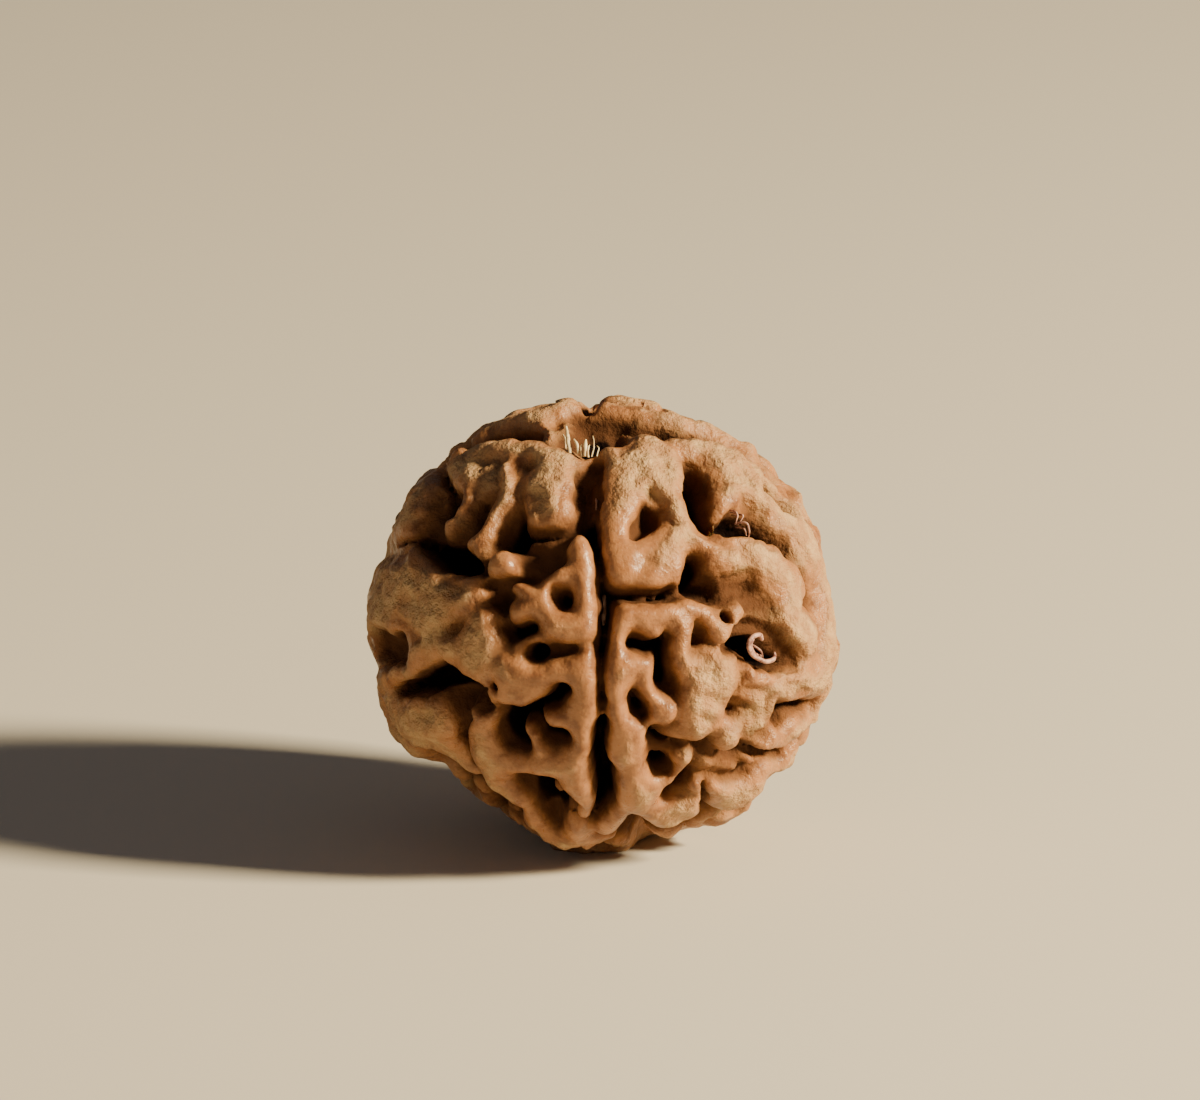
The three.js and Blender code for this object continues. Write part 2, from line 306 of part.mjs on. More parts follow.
// Fibres across the stem hole and in two pits: [x, up, half width] then rise above the skin.
const strands = [
  [[[-1.7, 8.8, 0.19], [-1.72, 9.4, 0.17], [-1.75, 10.2, 0.15]], [-0.5, 0.05, -0.7]],
  [[[-1.15, 8.6, 0.16], [-1.2, 8.9, 0.14], [-1.35, 9.6, 0.11]], [-0.5, 0.0, -1.2]],
  [[[-0.85, 8.45, 0.18], [-0.85, 8.85, 0.16], [-0.78, 9.6, 0.12]], [-0.6, 0.0, -1.5]],
  [[[-0.6, 8.4, 0.13], [-0.42, 9.1, 0.1], [-0.45, 9.9, 0.1]], [-1.2, -0.1, -2.4]],
  [[[6.4, 5.95, 0.14], [6.6, 5.5, 0.12], [6.85, 4.7, 0.11]], [-0.5, -0.4, -2.2]],
  [[[6.9, 6.3, 0.13], [6.9, 5.6, 0.12], [7.0, 4.9, 0.1]], [-0.9, -0.5, -2.9]],
  [[[7.0, 5.3, 0.12], [7.15, 4.8, 0.12], [7.35, 4.3, 0.12]], [-1.9, -0.5, -1.0]],
  [[[7.7, -0.2, 0.17], [7.4, -0.65, 0.16], [7.35, -1.2, 0.15], [7.7, -1.65, 0.15],
    [8.2, -1.8, 0.15], [8.75, -1.3, 0.14]], [-0.7, -0.7, -1.3, -1.5, -1.3, -1.9]],
];

const wasm = await Module();
wasm.setup();

const rise = THREE.MathUtils.degToRad(viewRise);
const pictureUp = new THREE.Vector3(0, Math.sin(rise), Math.cos(rise));
const towards = new THREE.Vector3(0, -Math.cos(rise), Math.sin(rise));

function directionAt(x, up) {
  const depth = Math.sqrt(Math.max(0.4, readRadius ** 2 - x * x - up * up));
  return new THREE.Vector3(x, 0, 0)
    .addScaledVector(pictureUp, up)
    .addScaledVector(towards, depth)
    .normalize();
}

// A half width read near the outline is foreshortened, so it is widened there.
function trueHalfWidth(x, up, halfWidth) {
  const cosine = Math.sqrt(Math.max(0.12, 1 - (x * x + up * up) / readRadius ** 2));
  return halfWidth * Math.min(1.7, 1 / Math.sqrt(cosine));
}

function stretchesOf(table) {
  const stretches = [];
  for (const [, drop, points] of table) {
    points.forEach(([x, up, halfWidth], index) => {
      if (index === points.length - 1 && index > 0) {
        return;
      }
      const [nextX, nextUp, nextHalf] = points[Math.min(index + 1, points.length - 1)];
      const from = directionAt(x, up).multiplyScalar(skinRadius);
      const to = directionAt(nextX, nextUp).multiplyScalar(skinRadius);
      const along = to.clone().sub(from);
      stretches.push({
        fx: from.x, fy: from.y, fz: from.z,
        ax: along.x, ay: along.y, az: along.z,
        lengthSquared: Math.max(along.lengthSq(), 1e-9),
        fromHalf: trueHalfWidth(x, up, halfWidth),
        toHalf: trueHalfWidth(nextX, nextUp, nextHalf),
        drop,
        reach: along.length() + 3.5,
      });
    });
  }
  return stretches;
}

const stemAxis = directionAt(-0.1, 9.7);
const ridgeStretches = stretchesOf(ridges);
const pitStretches = stretchesOf(pits);
const hollowStretches = stretchesOf(hollows);

// Smooth union of stretches at a point on the skin: the edge distance and the blended drop.
function nearest(stretches, qx, qy, qz, blend) {
  let sum = 0;
  let dropSum = 0;
  for (const one of stretches) {
    const rx = qx - one.fx;
    const ry = qy - one.fy;
    const rz = qz - one.fz;
    const squared = rx * rx + ry * ry + rz * rz;
    if (squared > one.reach * one.reach) {
      continue;
    }
    let t = (rx * one.ax + ry * one.ay + rz * one.az) / one.lengthSquared;
    t = Math.min(1, Math.max(0, t));
    const distance = Math.hypot(rx - t * one.ax, ry - t * one.ay, rz - t * one.az);
    const edge = distance - one.fromHalf - t * (one.toHalf - one.fromHalf);
    if (edge > 2) {
      continue;
    }
    const weight = Math.exp(-edge / blend);
    sum += weight;
    dropSum += weight * one.drop;
  }
  if (sum === 0) {
    return [2, 0];
  }
  return [Math.min(2, -blend * Math.log(sum)), dropSum / sum];
}

function chance(seed) {
  const value = Math.sin(seed * 12.9898 + 4.1) * 43758.5453;
  return value - Math.floor(value);
}

// Lobes out of the photo's sight: cells spread over the seed, some of them run together.
const cells = [];
for (let i = 0; i < cellCount; i += 1) {
  const height = 1 - (2 * (i + 0.5)) / cellCount;
  const turn = i * 2.39996;
  const across = Math.sqrt(1 - height * height);
  const middle = new THREE.Vector3(
    across * Math.cos(turn) + 0.13 * (chance(i) - 0.5),
    across * Math.sin(turn) + 0.13 * (chance(i + 300) - 0.5),
    height + 0.13 * (chance(i + 600) - 0.5),
  ).normalize().multiplyScalar(skinRadius);
  const pit = chance(i + 1200) < 0.3 ? 0.3 + 0.35 * chance(i + 1500) : -9;
  cells.push({ middle, drop: 0.35 * chance(i + 900), pit });
}

function readLobes(q) {
  const at = new THREE.Vector3(
    q.x + cellBend * ripple(q, 1.3, 0.2),
    q.y + cellBend * ripple(q, 1.2, 1.2),
    q.z + cellBend * ripple(q, 1.25, 3.2),
  );
  const gaps = cells.map((cell) => at.distanceToSquared(cell.middle));
  const home = gaps.indexOf(Math.min(...gaps));
  let sum = 0;
  cells.forEach((cell, other) => {
    if (gaps[other] > 40 || other === home || chance((home + 1) * (other + 1) * 0.37) < 0.42) {
      return;
    }
    const border = (gaps[other] - gaps[home]) / (2 * cell.middle.distanceTo(cells[home].middle));
    sum += Math.exp(-border / cellBlend);
  });
  const edge = cellValley + cellBlend * Math.log(Math.max(sum, 1e-9));
  const pit = Math.sqrt(gaps[home]) - cells[home].pit;
  return [[Math.max(-3, edge), cells[home].drop], [Math.min(2, pit), 1.9], [2, 0]];
}

function smoothMax(a, b, blend) {
  const part = Math.max(blend - Math.abs(a - b), 0) / blend;
  return Math.max(a, b) + part * part * blend * 0.25;
}

function smoothStep(value, low, high) {
  const part = Math.min(1, Math.max(0, (value - low) / (high - low)));
  return part * part * (3 - 2 * part);
}

function skinAt(direction) {
  const right = direction.x;
  const up = direction.dot(pictureUp);
  const turn = THREE.MathUtils.radToDeg(Math.atan2(up, right));
  const index = Math.max(1, outline.findIndex(([angle]) => angle >= turn));
  const [lowTurn, lowRadius] = outline[index - 1];
  const [highTurn, highRadius] = outline[index];
  const part = smoothStep(turn, lowTurn, highTurn);
  const rim = right * right + up * up;
  let radius = skinRadius + skinLift + (lowRadius + part * (highRadius - lowRadius) - skinRadius) * rim;
  const fromRim = skinRadius * Math.asin(direction.dot(towards));
  for (const [angle, depth, halfWidth] of rimNotches) {
    const away = (Math.abs(((turn - angle + 540) % 360) - 180) * Math.PI * skinRadius) / 180;
    radius -= depth * Math.exp(-((away / halfWidth) ** 2) - (fromRim / 2.2) ** 2);
  }
  return radius;
}

function ripple(p, size, shift) {
  return (
    Math.sin(p.x * size + 1.7 * Math.sin(p.y * size * 0.7 + shift)) *
      Math.sin(p.y * size * 1.1 + shift + 1.3 * Math.sin(p.z * size * 0.8)) +
    Math.sin(p.z * size * 0.9 + shift * 2 + 1.5 * Math.sin(p.x * size * 0.6))
  ) * 0.5;
}

// Distances to the front's ridge, pit and hollow edges, with the drop and the depths there.
function readFront(direction) {
  const q = direction.clone().multiplyScalar(skinRadius);
  const wander = outlineWander;
  const qx = q.x + wander * ripple(q, 1.9, 0.4);
  const qy = q.y + wander * ripple(q, 2.1, 2.1);
  const qz = q.z + wander * ripple(q, 2.0, 4.0);
  return [
    nearest(ridgeStretches, qx, qy, qz, ridgeBlend),
    nearest(pitStretches, qx, qy, qz, 0.1),
    nearest(hollowStretches, qx, qy, qz, 0.1),
  ];
}

// The back repeats the front through the seed's middle, bent so that it isn't a copy.
function bentBack(direction) {
  return new THREE.Vector3(
    -direction.x + 0.06 * Math.sin(4.1 * direction.z + 1.0) + 0.03 * Math.sin(7 * direction.y),
    -direction.y + 0.05 * Math.sin(3.7 * direction.x + 2.2),
    -direction.z + 0.06 * Math.sin(4.4 * direction.x + 0.3) + 0.03 * Math.sin(6 * direction.z),
  ).normalize();
}

// Distance to the grooves that run from the stem hole down both sides.
function sideGroove(q) {
  const polar = q.angleTo(stemAxis);
  const ahead = towards.clone().projectOnPlane(stemAxis).normalize();
  const aside = ahead.clone().cross(stemAxis);
  const turn = THREE.MathUtils.radToDeg(Math.atan2(q.dot(aside), q.dot(ahead)));
  const away = THREE.MathUtils.degToRad(Math.abs(Math.abs(turn) - sideGrooveTurn));
  const bend = 0.55 * ripple(q, 0.9, 1.1) + 0.2 * ripple(q, 2.1, 0.3);
  const gap = skinRadius * Math.sin(polar) * away + bend;
  return Math.min(2, Math.abs(gap) - sideGrooveHalf - 0.15 * ripple(q, 1.6, 2.0));
}

function heightAt(direction) {
  const facing = direction.dot(towards);
  const q = direction.clone().multiplyScalar(skinRadius);
  let ridgeEdge = 2;
  let drop = 0;
  let pitEdge = 2;
  let pitDepth = 0;
  const sides = [];
  if (facing > -0.3) {
    sides.push([readFront(direction), 2.2 * smoothStep(-facing, 0.05, 0.3)]);
  }
  if (facing < 0.22) {
    sides.push([readFront(bentBack(direction)), 2.2 * smoothStep(facing, 0.0, 0.22)]);
  }
  if (facing < 0.42 && facing > -0.6) {
    const hidden = smoothStep(facing, 0.18, 0.42) + smoothStep(-facing, 0.35, 0.6);
    sides.push([readLobes(q), 2.2 * hidden]);
    pitEdge = sideGroove(q) + 2.2 * smoothStep(facing, 0.2, 0.35);
    pitDepth = sideGrooveDepth;
  }
  let sum = 0;
  let dropSum = 0;
  let dent = 0;
  for (const [[ridge, pit, hollow], fade] of sides) {
    dent = Math.max(dent, hollow[1] * smoothStep(-hollow[0] - fade, -0.35, 0.3));
    const weight = Math.exp(-(ridge[0] + fade) / ridgeBlend);
    sum += weight;
    dropSum += weight * ridge[1];
    if (pit[0] + fade < pitEdge) {
      pitEdge = pit[0] + fade;
      pitDepth = pit[1];
    }
  }
  ridgeEdge = Math.min(2, -ridgeBlend * Math.log(sum)) - ridgeGrow;
  drop = dropSum / sum;
  const pad = q.distanceTo(new THREE.Vector3(0, 0, -skinRadius)) - restPadRadius;
  if (pad < 0.4) {
    ridgeEdge = Math.min(ridgeEdge, pad);
    pitEdge = Math.max(pitEdge, 0.25 - pad);
    drop *= smoothStep(pad, -0.5, 0.3);
  }
  const edge = smoothMax(ridgeEdge, -pitEdge, pitBlend);
  const lumps = rippleHeight * ripple(q, 1.1, 0.9) + lumpHeight * ripple(q, 2.7, 2.3);
  const skin = skinAt(direction) + lumps - dent;
  const shift = sideShift * Math.min(1, Math.max(-1, 4 * facing));
  const low = smoothStep(q.dot(pictureUp), -5.0, -3.0);
  const side = low * smoothStep(Math.abs(q.x + shift), 5.6, 8.0);
  const start = valleyStart + side * (sideValleyStart - valleyStart);
  const deepest = valleyDepth + side * (sideValleyDepth - valleyDepth);
  const valley = start + (deepest - start) * smoothStep(ridgeEdge, -0.1, valleySlope);
  let floorDrop = smoothMax(valley, pitDepth * smoothStep(-pitEdge, -0.2, pitSlope), 0.3);
  floorDrop += floorRelief * ripple(q, 3.1, 1.4) * smoothStep(floorDrop, 0.7, 1.4);
  const floor = skin - floorDrop;
  const cap = pitCap + (capRadius - pitCap) * smoothStep(pitEdge + ridgeEdge, -0.6, 0.3);
  const over = Math.min(cap, Math.max(0, edge + cap));
  const round = cap - Math.sqrt(cap * cap - over * over);
  const top = skin - drop - round - edgeFall * Math.exp(Math.min(edge, 0) / 1.1);
  return smoothMax(floor, top - 3 * Math.max(0, edge), footBlend);
}

function seedSurface() {
  const sphere = new THREE.IcosahedronGeometry(1, firstDetail);
  sphere.deleteAttribute("uv");
  sphere.deleteAttribute("normal");
  const merged = mergeVertices(sphere, 1e-5);
  const at = merged.getAttribute("position");
  const points = [];
  const onBase = [];
  const direction = new THREE.Vector3();
  for (let i = 0; i < at.count; i += 1) {
    direction.fromBufferAttribute(at, i).normalize();
    let radius = heightAt(direction);
    const toBase = direction.z < 0 ? -centreHeight / direction.z : Infinity;
    onBase.push(radius > toBase);
    radius = Math.min(radius, toBase);
    points.push([direction.x * radius, direction.y * radius, direction.z * radius]);
  }
  const faces = [];
  for (let i = 0; i < merged.index.count; i += 3) {
    faces.push([merged.index.getX(i), merged.index.getX(i + 1), merged.index.getX(i + 2)]);
  }
  return { points, faces, onBase };
}

function turnsOutward(a, b, c) {
  const product =
    a[0] * (b[1] * c[2] - b[2] * c[1]) +
    a[1] * (b[2] * c[0] - b[0] * c[2]) +
    a[2] * (b[0] * c[1] - b[1] * c[0]);
  return product > 0.02 * Math.hypot(...a);
}

function planeOf(a, b, c) {
  const first = new THREE.Vector3(b[0] - a[0], b[1] - a[1], b[2] - a[2]);
  const second = new THREE.Vector3(c[0] - a[0], c[1] - a[1], c[2] - a[2]);
  const normal = first.cross(second);
  const area = normal.length() / 2;
  normal.normalize();
  const offset = -(normal.x * a[0] + normal.y * a[1] + normal.z * a[2]);
  return [normal.x, normal.y, normal.z, offset, area];
}

function addPlane(sum, [a, b, c, d, weight]) {
  sum[0] += weight * a * a;
  sum[1] += weight * a * b;
  sum[2] += weight * a * c;
  sum[3] += weight * a * d;
  sum[4] += weight * b * b;
  sum[5] += weight * b * c;
  sum[6] += weight * b * d;
  sum[7] += weight * c * c;
  sum[8] += weight * c * d;
  sum[9] += weight * d * d;
}

function errorAt(q, [x, y, z]) {
  return (
    q[0] * x * x + 2 * q[1] * x * y + 2 * q[2] * x * z + 2 * q[3] * x +
    q[4] * y * y + 2 * q[5] * y * z + 2 * q[6] * y +
    q[7] * z * z + 2 * q[8] * z + q[9]
  );
}

function bestPoint(q, a, b) {
  const middle = [(a[0] + b[0]) / 2, (a[1] + b[1]) / 2, (a[2] + b[2]) / 2];
  const solve = new THREE.Matrix3().set(q[0], q[1], q[2], q[1], q[4], q[5], q[2], q[5], q[7]);
  const spread = Math.abs(solve.determinant());
  if (spread > 1e-7) {
    const spot = new THREE.Vector3(-q[3], -q[6], -q[8]).applyMatrix3(solve.invert());
    const reach = Math.hypot(b[0] - a[0], b[1] - a[1], b[2] - a[2]);
    if (spot.distanceTo(new THREE.Vector3(...middle)) < reach) {
      return [spot.x, spot.y, spot.z];
    }
  }
  return [a, b, middle].sort((m, n) => errorAt(q, m) - errorAt(q, n))[0];
}

// Edge collapse: keeps flats coarse and ridge edges fine, within the face budget.
function thinned({ points, faces, onBase }) {
  const sums = points.map(() => new Array(10).fill(0));
  const around = points.map(() => new Set());
  faces.forEach((face, index) => {
    const plane = planeOf(...face.map((corner) => points[corner]));
    for (const corner of face) {
      addPlane(sums[corner], plane);
      around[corner].add(index);
    }
  });
  const stamps = new Int32Array(points.length);
  const heap = [];
  const rank = (entry) => entry.cost;
  const push = (entry) => {
    heap.push(entry);
    let child = heap.length - 1;
    while (child > 0) {
      const parent = (child - 1) >> 1;
      if (rank(heap[parent]) <= rank(heap[child])) {
        break;
      }
      [heap[parent], heap[child]] = [heap[child], heap[parent]];
      child = parent;
    }
  };
  const pop = () => {
    const first = heap[0];
    const last = heap.pop();
    if (heap.length > 0) {
      heap[0] = last;
      let parent = 0;
      for (;;) {
        let least = parent;
        for (const child of [2 * parent + 1, 2 * parent + 2]) {
          if (child < heap.length && rank(heap[child]) < rank(heap[least])) {
            least = child;
          }
        }
        if (least === parent) {
          break;
        }
        [heap[parent], heap[least]] = [heap[least], heap[parent]];
        parent = least;
      }
    }
    return first;
  };
  const offer = (u, v) => {
    const q = sums[u].map((value, slot) => value + sums[v][slot]);
    const spot = bestPoint(q, points[u], points[v]);
    if (onBase[u] !== onBase[v]) {
      spot.splice(0, 3, ...points[onBase[u] ? u : v]);
    }
    if (onBase[u] || onBase[v]) {
      spot[2] = -centreHeight;
    }
    const reach = Math.hypot(...points[u].map((value, slot) => value - points[v][slot]));
    const cost = Math.max(0, errorAt(q, spot)) + 2e-4 * reach * reach;
    push({ cost, u, v, spot, stampU: stamps[u], stampV: stamps[v] });
  };
  const neighboursOf = (u) => {
    const found = new Set();
    for (const index of around[u]) {
      for (const corner of faces[index]) {
        found.add(corner);
      }
    }
    found.delete(u);
    return found;
  };
  for (let u = 0; u < points.length; u += 1) {
    for (const v of neighboursOf(u)) {
      if (u < v) {
        offer(u, v);
      }
    }
  }
  let count = faces.length;
  while (count > faceBudget && heap.length > 0) {
    const { u, v, spot, stampU, stampV } = pop();
    if (stamps[u] !== stampU || stamps[v] !== stampV) {
      continue;
    }
    const nearU = neighboursOf(u);
    const shared = [...neighboursOf(v)].filter((corner) => nearU.has(corner));
    if (shared.length !== 2) {
      continue;
    }
    const kept = [...around[u], ...around[v]].filter(
      (index) => !(faces[index].includes(u) && faces[index].includes(v)),
    );
    const sound = kept.every((index) => {
      const corners = faces[index].map((c) => (c === u || c === v ? spot : points[c]));
      const plane = planeOf(...corners);
      const before = planeOf(...faces[index].map((c) => points[c]));
      const agree = plane[0] * before[0] + plane[1] * before[1] + plane[2] * before[2];
      return turnsOutward(...corners) && agree > 0.2 && plane[4] > 2e-3;
    });
    if (!sound) {
      continue;
    }
    for (const index of around[v]) {
      if (faces[index].includes(u)) {
        faces[index].forEach((corner) => around[corner].delete(index));
        faces[index] = null;
        count -= 1;
      } else {
        faces[index] = faces[index].map((corner) => (corner === v ? u : corner));
        around[u].add(index);
      }
    }
    around[v].clear();
    sums[u] = sums[u].map((value, slot) => value + sums[v][slot]);
    points[u] = spot;
    onBase[u] = onBase[u] || onBase[v];
    stamps[u] += 1;
    stamps[v] = -1;
    for (const other of neighboursOf(u)) {
      stamps[other] += 1;
    }
    for (const other of neighboursOf(u)) {
      for (const next of neighboursOf(other)) {
        if (next === u || other < next) {
          offer(other, next);
        }
      }
    }
  }
  return { points, faces: faces.filter(Boolean) };
}

function bodyFrom(corners, triangles) {
  return new wasm.Manifold(
    new wasm.Mesh({
      numProp: 3,
      vertProperties: new Float32Array(corners),
      triVerts: new Uint32Array(triangles),
    }),
  );
}

function seedBody({ points, faces }) {
  const slots = new Map();
  const corners = [];
  const triangles = [];
  for (const face of faces) {
    for (const corner of face) {
      if (!slots.has(corner)) {
        slots.set(corner, slots.size);
        corners.push(points[corner][0], points[corner][1], points[corner][2] + centreHeight);
      }
      triangles.push(slots.get(corner));
    }
  }
  return bodyFrom(corners, triangles);
}

// One fibre: a four-sided strand along its points, both ends sunk in the shell.
function strandBody([points, rises]) {
  const spine = points.map(([x, up], i) => {
    const direction = directionAt(x, up);
    return direction.multiplyScalar(skinRadius + rises[i]);
  });
  const corners = [];
  const triangles = [];
  spine.forEach((spot, i) => {
    const before = spine[Math.max(0, i - 1)];
    const after = spine[Math.min(spine.length - 1, i + 1)];
    const along = after.clone().sub(before).normalize();
    const side = along.clone().cross(spot).normalize();
    const lift = side.clone().cross(along);
    for (let turn = 0; turn < 4; turn += 1) {
      const angle = (turn * Math.PI) / 2;
      const corner = spot.clone()
        .addScaledVector(side, Math.cos(angle) * points[i][2])
        .addScaledVector(lift, Math.sin(angle) * points[i][2]);
      corners.push(corner.x, corner.y, corner.z + centreHeight);
    }
  });
  for (let i = 0; i + 1 < spine.length; i += 1) {
    for (let turn = 0; turn < 4; turn += 1) {
      const a = i * 4 + turn;
      const b = i * 4 + ((turn + 1) % 4);
      triangles.push(a, b, a + 4, b, b + 4, a + 4);
    }
  }
  const last = (spine.length - 1) * 4;
  triangles.push(0, 2, 1, 0, 3, 2, last, last + 1, last + 2, last, last + 2, last + 3);
  const body = bodyFrom(corners, triangles);
  if (body.volume() > 0) {
    return body;
  }
  for (let i = 0; i < triangles.length; i += 3) {
    [triangles[i], triangles[i + 1]] = [triangles[i + 1], triangles[i]];
  }
  return bodyFrom(corners, triangles);
}

let seed = seedBody(thinned(seedSurface()));
for (const strand of strands) {
  seed = seed.add(strandBody(strand));
}

const mesh = seed.getMesh();
const geometry = new THREE.BufferGeometry();
geometry.setAttribute("position", new THREE.Float32BufferAttribute(mesh.vertProperties, 3));
geometry.setIndex([...mesh.triVerts]);
geometry.translate(footprintShift, 0, 0);
geometry.computeVertexNormals();

const shell = new THREE.Mesh(
  geometry,
  new THREE.MeshStandardMaterial({ color: 0xb98258, roughness: 0.5 }),
);
shell.name = "seed";
const group = new THREE.Group();
group.add(shell);

export default group;
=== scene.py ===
import math

import bpy
import numpy as np
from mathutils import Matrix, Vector


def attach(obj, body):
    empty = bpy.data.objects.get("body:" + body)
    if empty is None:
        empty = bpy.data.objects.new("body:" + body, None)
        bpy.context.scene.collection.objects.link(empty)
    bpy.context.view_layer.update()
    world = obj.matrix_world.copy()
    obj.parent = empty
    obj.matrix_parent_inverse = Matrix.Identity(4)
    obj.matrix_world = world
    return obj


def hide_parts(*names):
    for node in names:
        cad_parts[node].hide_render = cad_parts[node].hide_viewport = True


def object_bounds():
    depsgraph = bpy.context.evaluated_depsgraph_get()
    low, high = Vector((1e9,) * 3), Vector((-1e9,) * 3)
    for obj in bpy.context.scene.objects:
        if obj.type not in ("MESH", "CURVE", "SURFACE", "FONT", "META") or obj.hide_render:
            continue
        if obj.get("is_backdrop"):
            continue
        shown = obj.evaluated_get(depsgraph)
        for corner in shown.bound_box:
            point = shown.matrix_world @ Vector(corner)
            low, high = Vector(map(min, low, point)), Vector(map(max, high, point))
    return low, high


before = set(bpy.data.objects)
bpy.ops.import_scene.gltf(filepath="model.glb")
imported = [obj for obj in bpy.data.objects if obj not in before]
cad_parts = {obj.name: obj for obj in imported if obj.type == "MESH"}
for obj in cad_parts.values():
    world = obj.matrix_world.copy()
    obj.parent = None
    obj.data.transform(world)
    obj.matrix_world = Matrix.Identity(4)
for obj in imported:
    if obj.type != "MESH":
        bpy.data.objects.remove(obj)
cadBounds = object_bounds()
mm = 0.001

# Lengths in these dictionaries are mm; x is to the right and up is up in the front view.
seedSize = {
    "skinRadius": 11.8,
    "skinLift": 0.2,
    "centreHeight": 11.3,
    "footprintShift": -0.09,
    "viewRise": 14.5,  # degrees that the front view looks down
    "readRadius": 11.7,  # sphere that the front view's readings lie on
    "valleyDepth": 2.2,
    "sideValleyDepth": 1.05,
    "valleyStart": 1.3,  # depth of a valley's floor where it meets the ridge
    "sideValleyStart": 0.5,
    "valleySlope": 0.6,  # how far from the ridge the floor keeps falling
    "sideShift": 1.2,
    "pitSlope": 0.4,
    "capRadius": 0.85,  # rounding of a ridge's top edge
    "pitCap": 0.5,  # rounding of a pit's rim
    "edgeFall": 0.25,  # how much a plateau drops towards its edge
    "ridgeGrow": 0.13,
    "footBlend": 0.4,
    "ridgeBlend": 0.16,
    "pitBlend": 0.35,
    "rippleHeight": 0.07,
    "lumpHeight": 0.06,
    "floorRelief": 0.2,
    "outlineWander": 0.09,
    "restPadRadius": 3.3,
    "cellCount": 250,
    "cellValley": 0.4,
    "cellBlend": 0.2,
    "cellBend": 0.75,
    "sideGrooveTurn": 97,
    "sideGrooveHalf": 0.32,
    "sideGrooveDepth": 1.8,
    "meshStep": 0.228,
}

